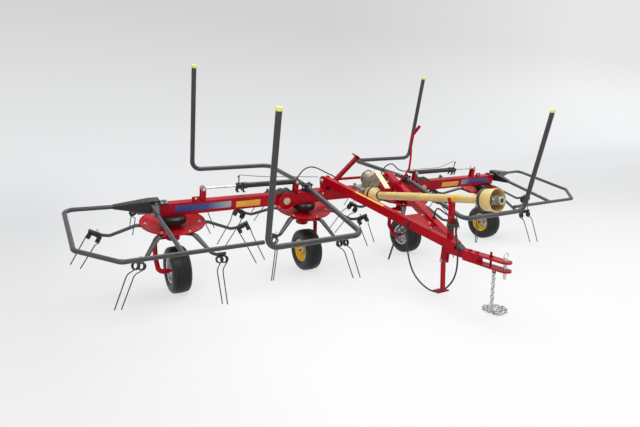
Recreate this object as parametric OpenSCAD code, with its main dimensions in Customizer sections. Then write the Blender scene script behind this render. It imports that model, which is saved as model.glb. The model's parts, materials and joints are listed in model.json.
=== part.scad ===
// Trailed four-rotor hay tedder, millimetres, +Z up, the drawbar towards -Y.
// The rotors, beams and guards stand in a plane that leans forward (the deck).
// Deck coordinates are [x, rearward in the plane, up from the plane].

/* [Layout] */
// Distance between neighbouring rotor axles
pitch = 1270; // [1240:5:1320]
// Forward lean of the deck, degrees
tilt = 13; // [8:0.5:16]
// Fore and aft place of the line of rotors
line_y = 514; // [500:1:530]
// Height of the line of rotors above the ground
line_z = 660; // [650:1:680]

/* [Beams] */
// Height of the box beams
beam_h = 110; // [100:1:120]
// Width of the box beams, front to back
beam_w = 70; // [60:1:80]
// Deck height of the underside of the beams
beam_low = 20; // [15:1:30]
// Distance of the fold hinges outward from the axles of the inner rotors
hinge_out = 222; // [214:1:232]
// Length of a wing beam past the axle of the outer rotor
beam_past = 115; // [105:1:130]
// Radius of the fold hinge pin
hinge_pin_r = 20; // [16:1:24]
// Radius of the rounded ears that hold the hinge pin
ear_r = 85; // [75:1:92]
// Thickness of one ear
ear_t = 12; // [8:1:16]

/* [Rotors] */
// Radius of the rim of a dish
dish_r = 268; // [240:2:290]
// Radius of the flat middle of a dish
dish_flat_r = 150; // [130:2:170]
// Depth of the flat middle below the rim
dish_deep = 36; // [26:1:46]
// Thickness of the dish sheet
dish_t = 5; // [4:0.5:8]
// Deck height of the top of the flat middle
dish_z = -85; // [-92:1:-80]
// Number of tine arms on a rotor
arm_count = 6; // [6]
// Radius of an arm tube
arm_r = 16; // [13:1:19]
// Distance of the tine coils from the rotor axle
coil_far = 620; // [600:5:640]
// Deck height of the tine coils
coil_z = -155; // [-165:1:-145]
// Outer radius of a tine coil
coil_r = 27; // [22:1:32]
// Radius of the tine wire
wire_r = 4.5; // [4:0.5:6]
// Distance between the two tines of an arm
tine_gap = 76; // [64:2:90]
// Distance of the tine tips from the rotor axle
tip_far = 781; // [760:1:800]
// Deck height of the tine tips
tip_z = -455; // [-465:1:-440]
// Turn of the first arm of rotors 1 and 3, degrees
turn_a = -8; // [-12:1:-4]

/* [Wheels] */
// Tyre diameter
tyre_d = 406; // [390:2:420]
// Tyre width
tyre_w = 165; // [150:1:175]
// Rim seat radius
rim_r = 101; // [95:1:108]
// Radius of the stub axle
axle_r = 12.5; // [10:0.5:16]
// Fore and aft place of the wheel axles
wheel_y = 467; // [450:1:480]
// Sideways reach of a wheel leg from the rotor axle
leg_reach = 155; // [145:1:170]
// Radius of the wheel leg tube
leg_r = 20; // [16:1:24]
// Radius of the fixed spindle that a rotor turns on
spindle_r = 30; // [26:1:34]

/* [Guards] */
// Radius of the inner guard tube
guard_r = 23; // [20:0.5:26]
// Distance of the upright posts from the middle
post_x = 1460; // [1430:5:1490]
// Height of the posts above the guard rails
post_h = 1022; // [960:2:1080]
// Distance of the inner guard rails from the line of rotors
rail_y = 934; // [915:1:950]
// Deck height of all guard rails
rail_z = 85; // [70:1:100]
// Distance of the inner ends of the rails from the middle
rail_in_x = 590; // [570:5:620]
// Distance from the middle at which the guard tube crosses the beam
cross_x = 620; // [600:5:640]
// Radius of the outer guard tube
hoop_r = 17; // [14:0.5:20]
// Distance of the outer guard outward from the axle of the outer rotor
hoop_out = 811; // [800:1:850]
// Distance of the outer front rail from the line of rotors
hoop_y = 831; // [815:1:845]

/* [Drawbar] */
// Width of a drawbar beam
draw_w = 60; // [50:1:70]
// Height of a drawbar beam
draw_h = 75; // [65:1:85]
// Distance of the rear ends of the drawbar beams from the middle
draw_x = 396; // [380:2:410]
// Fore and aft place of the point where the drawbar beams meet
apex_y = -890; // [-900:1:-880]
// Height of that point
apex_z = 455; // [450:1:460]
// Fore and aft place of the hitch pin
pin_y = -1370; // [-1390:1:-1350]
// Height of the middle of the hitch clevis
hitch_z = 415; // [405:1:420]
// Radius of the hitch pin
pin_r = 12.5; // [10:0.5:16]
// Gap between the clevis plates
clevis_gap = 52; // [46:1:60]
// Thickness of a clevis plate
clevis_t = 14; // [10:1:18]

/* [Drive shaft] */
// Radius of the outer guard tube of the drive shaft
shaft_tube_r = 36; // [32:1:40]
// Rise of the drive shaft towards the tractor, degrees
shaft_rise = 6.3; // [5:0.1:7.5]
// Bore radius of the yoke at the tractor end
yoke_bore_r = 17.5; // [15:0.5:20]

/* [Cylinders] */
// Distance of the barrel eye inward from the fold hinge
barrel_in = 111; // [105:1:118]
// Deck height of both cylinder eyes
eye_z = 232; // [225:1:240]
// Distance of the rod eye outward from the fold hinge
rod_out = 793; // [785:1:800]
// Length of the barrel with its valve block, from the middle of its eye
barrel_len = 598; // [590:1:602]
// Outer radius of the barrel
barrel_r = 24; // [20:1:28]
// Radius of the piston rod
rod_r = 9; // [7:0.5:12]

/* [Stand] */
// Sideways place of the parking stand
stand_x = 52; // [48:1:54]
// Height of the stand pivot
stand_z = 289; // [280:1:300]
// Width of the stand leg
stand_w = 44; // [38:1:46]

/* [Hidden] */
// Clearance between parts that are bolted or pushed together
seat = 0.3;
// Clearance round parts that turn
turn_gap = 0.5;
beam_top = beam_low + beam_h;
hinge_x = pitch / 2 + hinge_out;
wing_end = 1.5 * pitch + beam_past;
hoop_x = 1.5 * pitch + hoop_out;
barrel_x = hinge_x - barrel_in;
rod_x = hinge_x + rod_out;
hinge_z = beam_low + beam_h / 2 - 10;
rotor_x = [-1.5 * pitch, -0.5 * pitch, 0.5 * pitch, 1.5 * pitch];
// Rotors 1 and 3 turn one way, 2 and 4 the other
rotor_way = [1, -1, 1, -1];
rotor_turn = [turn_a, -30 - turn_a, turn_a, -30 - turn_a];
wheel_z = tyre_d / 2;
hub_z = deck_of(wheel_y, wheel_z);
// Width of a cylinder eye and radius of its pin
eye_w = 30;
eye_pin_r = 10;
housing_r = 112;
housing_low = -62;
spindle_low = -205;
collar_r = 60;
collar_h = 40;
// Upright drum on the gearbox
drum_x = 40;
drum_z = 245;
drum_r = 68;
draw_rear = [draw_x, 501, 872];
draw_front = [8, apex_y, apex_z];
draw_len = norm(draw_front - draw_rear);
// Plates that hold the rear lugs of the drawbar
cheek_t = 8;
lug_bolt = 12;
post_y = -818;
post_w = 38;
pivot_y = -712;
stand_pin_r = 8;
clevis_rear = -990;
shaft_start = [0, 270, 721];
shaft_len = 1500;
shaft_r = 17;
shaft_inner_r = shaft_tube_r - 3;
// Couplings parked on the post: [x, z of the lower end, z of the upper end]
coupler_y = -860;
coupler_r = 13;
couplers = [[-52, 574, 638], [14, 606, 672]];
rack_z = 612;
rack_h = 22;
hose_r = 7;
thin_hose_r = 6;
// Place of the clip along the left drawbar beam, and of the fitting along the right one
clip_s = 1037;
clip_w = 18;
fitting_s = 1071;
fitting_h = 16;
// Middle lines of the hoses on the drawbar
loop_route = [
    [-166, -469, 560], [-166, -469, 512], [-163, -471, 440], [-158, -481, 350], [-152, -502, 262], [-144, -538, 180],
    [-134, -588, 121], [-121, -648, 79], [-108, -706, 55], [-96, -762, 49], [-84, -816, 68], [-73, -868, 107],
    [-64, -908, 156], [-58, -936, 212], [-54, -952, 271], [-53, -958, 331], [-53, -958, 386], [-53, -958, 436],
    [-50.6, -954.4, 461.3], [-43.6, -944.2, 483.8], [-32.9, -928.6, 500.9], [-19.6, -909, 511],
    [-6.1, -889.4, 521.1], [4.5, -873.7, 538.2], [11.5, -863.5, 560.7], [14, -860, 586], [14, -860, 606]
];
arc_route = [
    [115.6, -504.3, 626.5], [114.1, -509.6, 645.7], [109, -522, 672], [99, -545, 695], [84, -574, 709],
    [67, -607, 715], [34, -664, 717], [0, -722, 717], [-22, -757, 717], [-38, -783, 717], [-47, -804, 716],
    [-50, -825.4, 711.7], [-51.5, -843.6, 699.6], [-52, -855.7, 681.4], [-52, -860, 660], [-52, -860, 638]
];
// Middle lines of the hoses over the beam, in the deck
left_route = [
    [-702, 50, 259], [-688, 50, 280], [-668, 50, 306], [-638, 50, 331], [-600, 50, 347], [-555, 50, 349],
    [-490, 53, 330], [-414, 56, 294], [-352, 60, 264], [-304, 62, 243], [-271, 61, 222], [-252, 60, 196],
    [-246, 58, 172], [-246, 58, 150]
];
right_route = [
    [314, 58, 150], [314, 58, 180], [316, 58, 216], [324, 57, 254], [342, 53, 292], [370, 46, 322], [404, 40, 335],
    [438, 36, 328], [470, 34, 306], [506, 35, 280], [548, 40, 258], [596, 46, 243], [645, 50, 236], [690, 50, 232]
];
// Safety chain
link_d = 7;
link_inner_l = 26.6;
// Play between two links where the chain hangs, bends and lies
hang_play = 0.6;
bend_play = 3.2;
heap_play = 2;
link_inner_w = 16;
lug_y = -1274;
lug_z = 352;
lug_hole_r = 9;
hang_links = 11;
bend_links = 3;
heap_links = 21;
heap_r = 98;
heap_start = -125;
heap_turn = 33;

// [rearward, up] in the deck of a place given by its y and z on the ground frame
function deck_of(y, z) = [
    (y - line_y) * cos(tilt) + (z - line_z) * sin(tilt),
    (z - line_z) * cos(tilt) - (y - line_y) * sin(tilt)
];
function unit(v) = v / norm(v);
// Point on the drawbar beam's middle line, t from 0 at the rear to 1 at the front
function draw_at(t) = draw_rear + t * (draw_front - draw_rear);

// Points of a smooth curve through all the given ones, n to each stretch
function curve_point(a, b, c, d, t) =
    0.5 * (2 * b + (c - a) * t + (2 * a - 5 * b + 4 * c - d) * t * t + (3 * b - a - 3 * c + d) * t * t * t);
function curve(p, n) = let (last = len(p) - 1) concat(
    [for (i = [0:last - 1], k = [0:n - 1])
        curve_point(p[max(i - 1, 0)], p[i], p[i + 1], p[min(i + 2, last)], k / n)],
    [p[last]]
);

// Frame of a drawbar beam: +X runs along it from its rear end
module on_draw(side) {
    v = draw_front - draw_rear;
    translate([side * draw_rear.x, draw_rear.y, draw_rear.z])
        rotate([0, -asin(v.z / norm(v)), atan2(v.y, side * v.x)]) children();
}

module on_deck() {
    translate([0, line_y, line_z]) rotate([tilt, 0, 0]) children();
}

// Round bar, or cone, from a to b
module rod(a, b, r, r_end = undef) {
    v = b - a;
    len = norm(v);
    translate(a)
        rotate([0, acos(v.z / len), atan2(v.y, v.x)])
            cylinder(r1 = r, r2 = is_undef(r_end) ? r : r_end, h = len, $fn = 32);
}

// Bars along a path with a ball at each corner
module kinked_rod(path, r) {
    for (i = [0:len(path) - 2]) rod(path[i], path[i + 1], r);
    for (i = [1:len(path) - 2]) translate(path[i]) sphere(r = r * 1.04, $fn = 24);
}

// Box bar from a to b, w wide across and h high
module bar(a, b, w, h) {
    v = b - a;
    len = norm(v);
    translate(a)
        rotate([0, -asin(v.z / len), atan2(v.y, v.x)])
            translate([0, -w / 2, -h / 2]) cube([len, w, h]);
}

// Tube along a path, each corner turned with the given bend radius; the bends are a little
// fatter than the straights, which end inside them
module bent_tube(path, r, bend) {
    lap = 4;
    last = len(path) - 1;
    // Length that the bend at corner i takes off its two straights
    cut = [for (i = [0:last])
        i == 0 || i == last ? 0
        : bend * tan(acos(unit(path[i] - path[i - 1]) * unit(path[i + 1] - path[i])) / 2)];
    for (i = [0:last - 1]) {
        d = unit(path[i + 1] - path[i]);
        start = i == 0 ? 0 : cut[i] - lap;
        end = i == last - 1 ? 0 : cut[i + 1] - lap;
        rod(path[i] + start * d, path[i + 1] - end * d, r);
    }
    for (i = [1:last - 1]) {
        d1 = unit(path[i] - path[i - 1]);
        d2 = unit(path[i + 1] - path[i]);
        n = unit(d2 - (d2 * d1) * d1);
        z = cross(-n, d1);
        o = path[i] - cut[i] * d1 + bend * n;
        multmatrix([
            [-n.x, d1.x, z.x, o.x],
            [-n.y, d1.y, z.y, o.y],
            [-n.z, d1.z, z.z, o.z],
            [0, 0, 0, 1]
        ])
            rotate_extrude(angle = acos(d1 * d2), $fn = 48) translate([bend, 0]) circle(r = r + 0.6, $fn = 32);
    }
}

// Hose of radius r along a route; across points out of the plane that the route mostly lies in
module hose(route, r, across, steps = 3) {
    sides = 10;
    path = curve(route, steps);
    last = len(path) - 1;
    ring = [for (i = [0:last])
        let (
            // The two ends are cut square to the first and last stretch
            t = unit(i == 0 ? route[1] - route[0]
                : i == last ? route[len(route) - 1] - route[len(route) - 2]
                : path[i + 1] - path[i - 1]),
            n = unit(cross(across, t)),
            b = cross(t, n)
        )
        for (k = [0:sides - 1]) path[i] + r * (cos(k * 360 / sides) * n + sin(k * 360 / sides) * b)];
    polyhedron(
        points = ring,
        faces = concat(
            [[for (k = [0:sides - 1]) k]],
            [for (i = [0:last - 1], k = [0:sides - 1])
                [i * sides + k, (i + 1) * sides + k, (i + 1) * sides + (k + 1) % sides, i * sides + (k + 1) % sides]],
            [[for (k = [sides - 1:-1:0]) last * sides + k]]
        )
    );
}

// Flat plate standing across the beam, drawn in x and z, from y0 to y0 + t
module upright(y0, t) {
    translate([0, y0 + t, 0]) rotate([90, 0, 0]) linear_extrude(t) children();
}

module centre_frame() color("crimson") {
    shoulder_x = hinge_x - 112;
    shoulder_in = 430;
    shoulder_w = beam_w + 24;
    // The ears keep straight past the housing under the beam
    ear_neck = pitch / 2 + housing_r + 8;
    ear_root = 190;
    cheek_r = draw_h / 2 + 6;
    cheek_drop = 88;
    on_deck() {
        translate([-shoulder_x, -beam_w / 2, beam_low]) cube([2 * shoulder_x, beam_w, beam_h]);
        // Tube across between the two rear lugs of the drawbar
        lug = deck_of(draw_rear.y, draw_rear.z);
        lug_in = draw_rear.x - draw_w / 2 - cheek_t;
        rod([-lug_in, lug[0], lug[1]], [lug_in, lug[0], lug[1]], 14);
        for (side = [-1, 1]) {
            translate([side * (shoulder_x + shoulder_in) / 2 - (shoulder_x - shoulder_in) / 2, -shoulder_w / 2, beam_low])
                cube([shoulder_x - shoulder_in, shoulder_w, beam_h]);
            for (front = [-1, 1])
                difference() {
                    upright(front * (shoulder_w + ear_t) / 2 - ear_t / 2, ear_t) {
                        hull() {
                            translate([side * hinge_x, hinge_z]) circle(r = ear_r, $fn = 64);
                            translate([side * ear_neck - 5, beam_low]) square([10, beam_h - 10]);
                        }
                        translate([side * (ear_neck - ear_root / 2) - ear_root / 2, beam_low])
                            square([ear_root, beam_h - 10]);
                    }
                    translate([side * hinge_x, 0, hinge_z])
                        rotate([90, 0, 0]) cylinder(r = hinge_pin_r + seat, h = 300, center = true);
                }
            cylinder_bracket(side * barrel_x, true);
        }
    }
    for (side = [-1, 1], cheek = [-1, 1])
        on_draw(side) {
            translate([0, cheek * (draw_w / 2 + seat + cheek_t / 2), 0])
                rotate([90, 0, 0])
                    linear_extrude(cheek_t, center = true)
                        hull() {
                            circle(r = cheek_r, $fn = 64);
                            translate([-12, -cheek_drop]) square([78, 8]);
                        }
            translate([0, cheek * (draw_w / 2 + seat + (cheek_t + lug_bolt) / 2), 0])
                rotate([90, 0, 0]) cylinder(r = 15, h = cheek_t + lug_bolt, center = true);
        }
}

// Two plates on a beam that a cylinder eye sits between, with the eye's pin where it has one
module cylinder_bracket(x, pinned) {
    for (front = [-1, 1])
        upright(front * (eye_w / 2 + turn_gap + 4) - 4, 8)
            union() {
                translate([x, eye_z]) circle(r = 22);
                translate([x - 22, beam_top - 10]) square([44, eye_z - beam_top + 10]);
            }
    if (pinned)
        translate([x, 0, eye_z]) rotate([90, 0, 0]) cylinder(r = eye_pin_r, h = eye_w + 24, center = true);
}

module hinge_pins() color("wheat") on_deck() {
    pin_half = beam_w / 2 + 12 + ear_t;
    for (side = [-1, 1])
        translate([side * hinge_x, 0, hinge_z]) rotate([90, 0, 0]) {
            cylinder(r = hinge_pin_r, h = 2 * pin_half, center = true);
            translate([0, 0, pin_half]) cylinder(r = 34, h = 10);
        }
}

// One drawbar beam with its rounded rear lug
module draw_beam(side)
    on_draw(side) {
        translate([0, -draw_w / 2, -draw_h / 2]) cube([draw_len, draw_w, draw_h]);
        rotate([90, 0, 0]) cylinder(r = draw_h / 2, h = draw_w, center = true);
    }

// The beams meet in the middle plane of the machine
module drawbar(side) color("crimson")
    intersection() {
        draw_beam(side);
        translate([side > 0 ? 0 : -2 * draw_x, 2 * apex_y, 0]) cube([2 * draw_x, -4 * apex_y, 2 * draw_rear.z]);
    }

// Tongue, cross sheet, shaft post and stand cheeks, cut along the beams that they are welded to
module drawbar_head() color("crimson") {
    tongue_w = 70;
    tongue_front = -1134;
    sheet_a = draw_at(0.60);
    sheet_b = draw_at(0.76);
    sheet_t = 10;
    cheek_x = stand_w / 2 + 4;
    cheek_w = 44;
    difference() {
        union() {
            translate([-tongue_w / 2, tongue_front, hitch_z - clevis_gap / 2 + seat / 2])
                cube([tongue_w, post_y - tongue_front + 14, clevis_gap - seat]);
            bar([0, sheet_a.y, sheet_a.z], [0, sheet_b.y, sheet_b.z], 2 * sheet_b.x + 20, sheet_t);
            for (cheek = [-1, 1])
                bar([stand_x + cheek * cheek_x, pivot_y, stand_z - 22],
                    [stand_x + cheek * cheek_x, pivot_y - 24, stand_z + 190], 6, cheek_w);
            cradle_post();
        }
        draw_beam(1);
        draw_beam(-1);
    }
    translate([stand_x, pivot_y, stand_z])
        rotate([0, 90, 0]) cylinder(r = stand_pin_r, h = stand_w + 22, center = true);
}

// Post that carries the drive shaft while it is parked
module cradle_post() {
    cradle_s = (shaft_start.y - post_y) / cos(shaft_rise);
    cradle_z = shaft_start.z + cradle_s * sin(shaft_rise) - shaft_inner_r - 4;
    cradle_l = 30;
    translate([-post_w / 2, post_y - post_w / 2, apex_z]) cube([post_w, post_w, cradle_z - apex_z]);
    on_shaft()
        translate([0, 0, cradle_s - cradle_l / 2])
            difference() {
                cylinder(r = shaft_inner_r + 8, h = cradle_l);
                translate([0, 0, -1]) cylinder(r = shaft_inner_r + seat, h = cradle_l + 2);
                translate([-2 * shaft_tube_r, 8, -1]) cube([4 * shaft_tube_r, 2 * shaft_tube_r, cradle_l + 2]);
            }
}

module hitch_clevis() color("indianred") {
    front_r = 46;
    rear_w = 72;
    bolt_r = 9;
    // Upright bolt between the hitch pin and the tongue
    bolt_y = -1238;
    bolt_top = 494;
    lower = hitch_z - clevis_gap / 2 - clevis_t;
    upper = hitch_z + clevis_gap / 2 + clevis_t;
    for (high = [-1, 1])
        difference() {
            translate([0, 0, hitch_z + high * (clevis_gap + clevis_t) / 2 - clevis_t / 2])
                linear_extrude(clevis_t)
                    hull() {
                        translate([0, pin_y]) circle(r = front_r, $fn = 64);
                        translate([-rear_w / 2, clevis_rear - 20]) square([rear_w, 20]);
                    }
            translate([0, pin_y, hitch_z]) cylinder(r = pin_r + seat, h = 200, center = true);
        }
    translate([0, bolt_y, lower - 12]) cylinder(r = bolt_r, h = bolt_top - lower + 12);
    translate([0, bolt_y, lower - 10]) cylinder(r = 16, h = 12, $fn = 6);
    translate([0, bolt_y, upper - 1]) cylinder(r = 15, h = 13);
    for (y = [-1105, -1035]) {
        translate([0, y, upper - 1]) cylinder(r = 15, h = 12, $fn = 6);
        translate([0, y, lower - 11]) cylinder(r = 15, h = 12, $fn = 6);
    }
    // Eye that the chain hangs in
    difference() {
        translate([-5, lug_y - 14, lug_z - 14]) cube([10, 28, lower - lug_z + 15]);
        translate([0, lug_y, lug_z]) rotate([0, 90, 0]) cylinder(r = lug_hole_r, h = 40, center = true);
    }
}

module hitch_pin() color("silver") {
    plate_top = hitch_z + clevis_gap / 2 + clevis_t;
    plate_low = hitch_z - clevis_gap / 2 - clevis_t;
    tail_len = 50;
    translate([0, pin_y, plate_low - 6]) cylinder(r = pin_r, h = plate_top - plate_low + 26);
    translate([0, pin_y, plate_low - 6 - tail_len]) cylinder(r = pin_r - 1.5, h = tail_len + 1);
    translate([0, pin_y, plate_top]) cylinder(r = 20, h = 10);
    translate([0, pin_y, plate_top + 40]) rotate([90, 0, 0]) rotate_extrude() translate([22, 0]) circle(r = 4);
}

module gearbox() color("dimgray") on_deck() {
    front = -beam_w / 2;
    block_w = 180;
    block_d = 150;
    block_h = 140;
    drum_l = 130;
    translate([-block_w / 2, front - block_d, beam_low]) cube([block_w, block_d, block_h]);
    // Side covers of the block
    for (side = [-1, 1])
        rod([0, front - block_d / 2, beam_low + block_h / 2],
            [side * (block_w / 2 + 12), front - block_d / 2, beam_low + block_h / 2], 52);
    translate([drum_x, front - 20, drum_z]) rotate([90, 0, 0]) cylinder(r = drum_r, h = drum_l);
    // Flanges of the drum
    for (y = [front - 20, front - 20 - drum_l + 10])
        translate([drum_x, y, drum_z]) rotate([90, 0, 0]) cylinder(r = drum_r + 8, h = 10);
    translate([-20, front - block_d + 10, beam_low + block_h - 10]) cube([120, block_d - 40, 95]);
    // Bearing housing of the input shaft
    translate([0, front - block_d + 1, 110])
        rotate([90, 0, 0]) {
            cylinder(r = 56, h = 13);
            cylinder(r = 42, h = 40);
        }
}

module hook_strap() color("burlywood") on_deck() {
    strap_w = 56;
    bar([60, -170, 345], [10, -440, 262], strap_w, 8);
    translate([drum_x + 2, -178, drum_z + drum_r + 8 + seat]) cube([30, 20, 26]);
}

module mast() color("crimson") on_deck() {
    foot = [-318, 0, 197];
    top = [-75, 0, 440];
    tube_w = 36;
    bar(foot, top, tube_w, tube_w);
    translate(top) rotate([0, 45, 0]) cube([80, 110, 8], center = true);
    // Foot plate on the beam
    upright(-6, 12) polygon([[foot.x - 12, beam_top], [foot.x + 56, beam_top], [foot.x + 56, foot.z + 43], [foot.x - 12, foot.z + 3]]);
}

module tilt_lever() color("crimson") {
    lever_r = 10;
    foot = [326, 225, 839];
    foot_s = (foot - draw_rear) * unit(draw_front - draw_rear);
    foot_l = 60;
    foot_w = 36;
    foot_h = 15;
    top = [330, -30, 1395];
    knee = [330, 72, 1300];
    bent_tube([foot, [330, 166, 892], [330, 92, 985], [330, 76, 1089], knee, top], lever_r, 25);
    // Foot on the drawbar beam
    on_draw(1)
        translate([foot_s - foot_l / 2, -foot_w / 2, draw_h / 2 + seat]) cube([foot_l, foot_w, foot_h]);
    // Grip
    rod(top - 105 * unit(top - knee), top + 6 * unit(top - knee), lever_r + 5);
}

// The axis of the drive shaft becomes +Z, with +Y roughly up
module on_shaft() {
    translate(shaft_start) rotate([90 - shaft_rise, 0, 0]) children();
}

// Universal joint with its cross at s: two forks turned a quarter from each other
module universal_joint(s) {
    ear_gap = 23;
    fork_t = 10;
    ear_w = 36;
    reach = 34;
    base_t = 10;
    for (half = [0, 1])
        translate([0, 0, s]) mirror([0, 0, half]) rotate([0, 0, half * 90]) {
            for (e = [-1, 1]) {
                translate([e * (ear_gap + fork_t / 2) - fork_t / 2, -ear_w / 2, 0]) cube([fork_t, ear_w, reach + 1]);
                translate([e * (ear_gap + fork_t / 2), 0, 0]) rotate([0, 90, 0]) cylinder(r = ear_w / 2, h = fork_t, center = true);
            }
            translate([0, 0, reach]) cylinder(r = ear_gap + fork_t, h = base_t);
            rotate([0, 90, 0]) cylinder(r = 9, h = 2 * (ear_gap + fork_t) + 4, center = true);
        }
}

module drive_shaft() color("gray") on_shaft() {
    rear_cross = 64;
    front_cross = shaft_len - 14;
    yoke_len = 60;
    yoke_end = shaft_len + 80;
    fork_l = 44;
    translate([0, 0, 7]) cylinder(r = shaft_r, h = rear_cross - fork_l - 6);
    universal_joint(rear_cross);
    translate([0, 0, rear_cross + fork_l - 1]) cylinder(r = shaft_r, h = front_cross - rear_cross - 2 * fork_l + 2);
    difference() {
        union() {
            universal_joint(front_cross);
            translate([0, 0, front_cross + fork_l - 1]) cylinder(r = 30, h = yoke_end - front_cross - fork_l + 1);
        }
        translate([0, 0, yoke_end - yoke_len]) cylinder(r = yoke_bore_r, h = yoke_len + 1);
    }
}

module shaft_guard() color("khaki") on_shaft() {
    wall = shaft_tube_r - shaft_inner_r;
    half = 720;
    rotate_extrude()
        polygon([
            [shaft_inner_r, 120], [82 - wall, 60], [85 - wall, 10], [85, 10], [82, 62],
            [shaft_tube_r, 130], [shaft_tube_r, half], [shaft_inner_r, half]
        ]);
    rotate_extrude()
        polygon([
            [shaft_inner_r - wall, half - 60], [shaft_inner_r, half - 60], [shaft_inner_r, shaft_len - 150],
            [82, shaft_len - 80], [86, shaft_len + 40], [86 - wall, shaft_len + 40], [82 - wall, shaft_len - 80],
            [shaft_inner_r - wall, shaft_len - 145]
        ]);
    // Bearing rings that the guard runs on
    for (s = [135, shaft_len - 180])
        translate([0, 0, s])
            difference() {
                cylinder(r = shaft_inner_r + 1 - (s > half ? wall : 0), h = 20);
                translate([0, 0, -1]) cylinder(r = shaft_r + seat, h = 22);
            }
}

module hose_holder() color("black") {
    rear = apex_y - 24;
    front = clevis_rear + seat;
    low = hitch_z + clevis_gap / 2 - seat / 2;
    // Side outline, sloping down to a step at the front
    translate([-28, 0, 0])
        rotate([90, 0, 90])
            linear_extrude(56)
                polygon([[front, low], [rear, low], [rear, low + 42], [rear - 10, low + 42], [front + 22, low + 14], [front, low + 18]]);
}

// Rack on the post with the two couplings parked in it, and the fittings that the other hose ends come from
module hose_couplings() color("dimgray") {
    clip_len = 24;
    difference() {
        translate([couplers[0][0] - 18, coupler_y - 18, rack_z])
            cube([couplers[1][0] - couplers[0][0] + 36, post_y - post_w / 2 - coupler_y + 18, rack_h]);
        for (c = couplers) translate([c[0], coupler_y, rack_z - 1]) cylinder(r = coupler_r + seat, h = rack_h + 2);
    }
    for (c = couplers) translate([c[0], coupler_y, c[1]]) cylinder(r = coupler_r, h = c[2] - c[1]);
    on_draw(-1)
        translate([clip_s - clip_len / 2, -draw_w / 2 - seat - clip_w, -clip_len / 2]) cube([clip_len, clip_w, clip_len]);
    translate(loop_route[0]) cylinder(r = hose_r + 2, h = 34);
    on_draw(1)
        translate([fitting_s - clip_len / 2, -clip_len / 2, draw_h / 2]) cube([clip_len, clip_len, fitting_h]);
    on_deck()
        for (side = [-1, 1]) {
            // Ports on the cylinder brackets and foot of each hose on the beam
            port = side < 0 ? left_route[0] : right_route[len(right_route) - 1];
            translate([side * (barrel_x - 32) - 20, 23.5 + seat, 214]) cube([40, 36, 24]);
            rod([side * (barrel_x - 24), port.y, 229], port, thin_hose_r + 3);
            foot = side < 0 ? left_route[len(left_route) - 1] : right_route[0];
            translate([foot.x - 14, beam_w / 2 + seat, foot.z - 40]) cube([28, 34, 40]);
        }
}

module hose_loop() color("black") hose(loop_route, hose_r, [0.977, 0.213, 0]);

module hose_arc() color("black") hose(arc_route, hose_r, [0.92, -0.39, 0], 4);

module hose_left() color("black") on_deck() hose(left_route, thin_hose_r, [0, 1, 0]);

module hose_right() color("black") on_deck() hose(right_route, thin_hose_r, [0, 1, 0]);

// Ring of one link, its long way along Z
module link(middle, lean, azimuth, roll) {
    inner_r = link_inner_w / 2;
    half = link_inner_l / 2 - inner_r;
    translate(middle)
        rotate([0, lean, azimuth])
            rotate([90, 0, roll])
                linear_extrude(link_d, center = true)
                    difference() {
                        link_outline(half, inner_r + link_d);
                        link_outline(half, inner_r);
                    }
}

module link_outline(half, r)
    hull()
        for (end = [-1, 1]) translate([0, end * half]) rotate(22.5) circle(r = r / cos(22.5), $fn = 8);

// Angles at which the heap's links meet, each a chord of one pitch further round
function heap_at(angle) = heap_r - heap_turn * (angle - heap_start) / 360;
function heap_angles(angle, n) =
    n == 0 ? [angle] : concat([angle], heap_angles(angle + 2 * asin((link_inner_l - heap_play) / 2 / heap_at(angle)), n - 1));

// Chain that hangs from the clevis and lies in a heap on the ground
module safety_chain() color("silver") {
    step = link_inner_l - hang_play;
    top_z = lug_z - lug_hole_r + 1.8 - hang_play / 2;
    bend_r = (link_inner_l - bend_play) / 2 / sin(45 / bend_links);
    bend_z = top_z - hang_links * step;
    tangent = [-sin(heap_start), cos(heap_start)];
    azimuth = atan2(tangent[1], tangent[0]);
    start = [bend_r * tangent[0], lug_y + bend_r * tangent[1]];
    middle = [start[0] - heap_r * cos(heap_start), start[1] - heap_r * sin(heap_start)];
    // Each link is rolled a quarter from the one before it
    for (k = [0:hang_links - 1])
        link([0, lug_y, top_z - (k + 0.5) * step], 180, azimuth,
             azimuth - (45 + azimuth) * k / hang_links + (k % 2) * 90);
    for (k = [0:bend_links - 1]) {
        turn = 90 / bend_links;
        far = bend_r * cos(turn / 2);
        out = bend_r - far * cos((k + 0.5) * turn);
        link([out * tangent[0], lug_y + out * tangent[1], bend_z - far * sin((k + 0.5) * turn)],
             180 - (k + 0.5) * turn, azimuth, -45 + ((k + hang_links) % 2) * 90);
    }
    angles = heap_angles(heap_start, heap_links);
    for (k = [0:heap_links - 1]) {
        a = [for (m = [0, 1]) let (g = angles[k + m]) [middle[0] + heap_at(g) * cos(g), middle[1] + heap_at(g) * sin(g)]];
        v = a[1] - a[0];
        link([(a[0][0] + a[1][0]) / 2, (a[0][1] + a[1][1]) / 2, bend_z - bend_r], 90, atan2(v[1], v[0]),
             -45 + ((k + hang_links + bend_links) % 2) * 90);
    }
}

module inner_guards() color("dimgray") on_deck()
    for (side = [-1, 1])
        bent_tube([
            [side * post_x, -rail_y, rail_z + post_h], [side * post_x, -rail_y, rail_z],
            [side * rail_in_x, -rail_y, rail_z],
            [side * cross_x, -120, beam_top + 12 + guard_r], [side * cross_x, 120, beam_top + 12 + guard_r],
            [side * rail_in_x, rail_y, rail_z],
            [side * post_x, rail_y, rail_z], [side * post_x, rail_y, rail_z + post_h]
        ], guard_r, 90);

module guard_clamps() color("black") on_deck()
    for (side = [-1, 1]) {
        translate([side * cross_x - 45, -beam_w / 2, beam_top]) cube([90, beam_w, 12]);
        translate([side * cross_x - 45, -beam_w / 2, beam_top + 12 + 2 * guard_r]) cube([90, beam_w, 8]);
        for (x = [-35, 35], y = [-24, 24])
            translate([side * cross_x + x, y, beam_top + 1]) cylinder(r = 6, h = 2 * guard_r + 28);
    }

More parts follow.
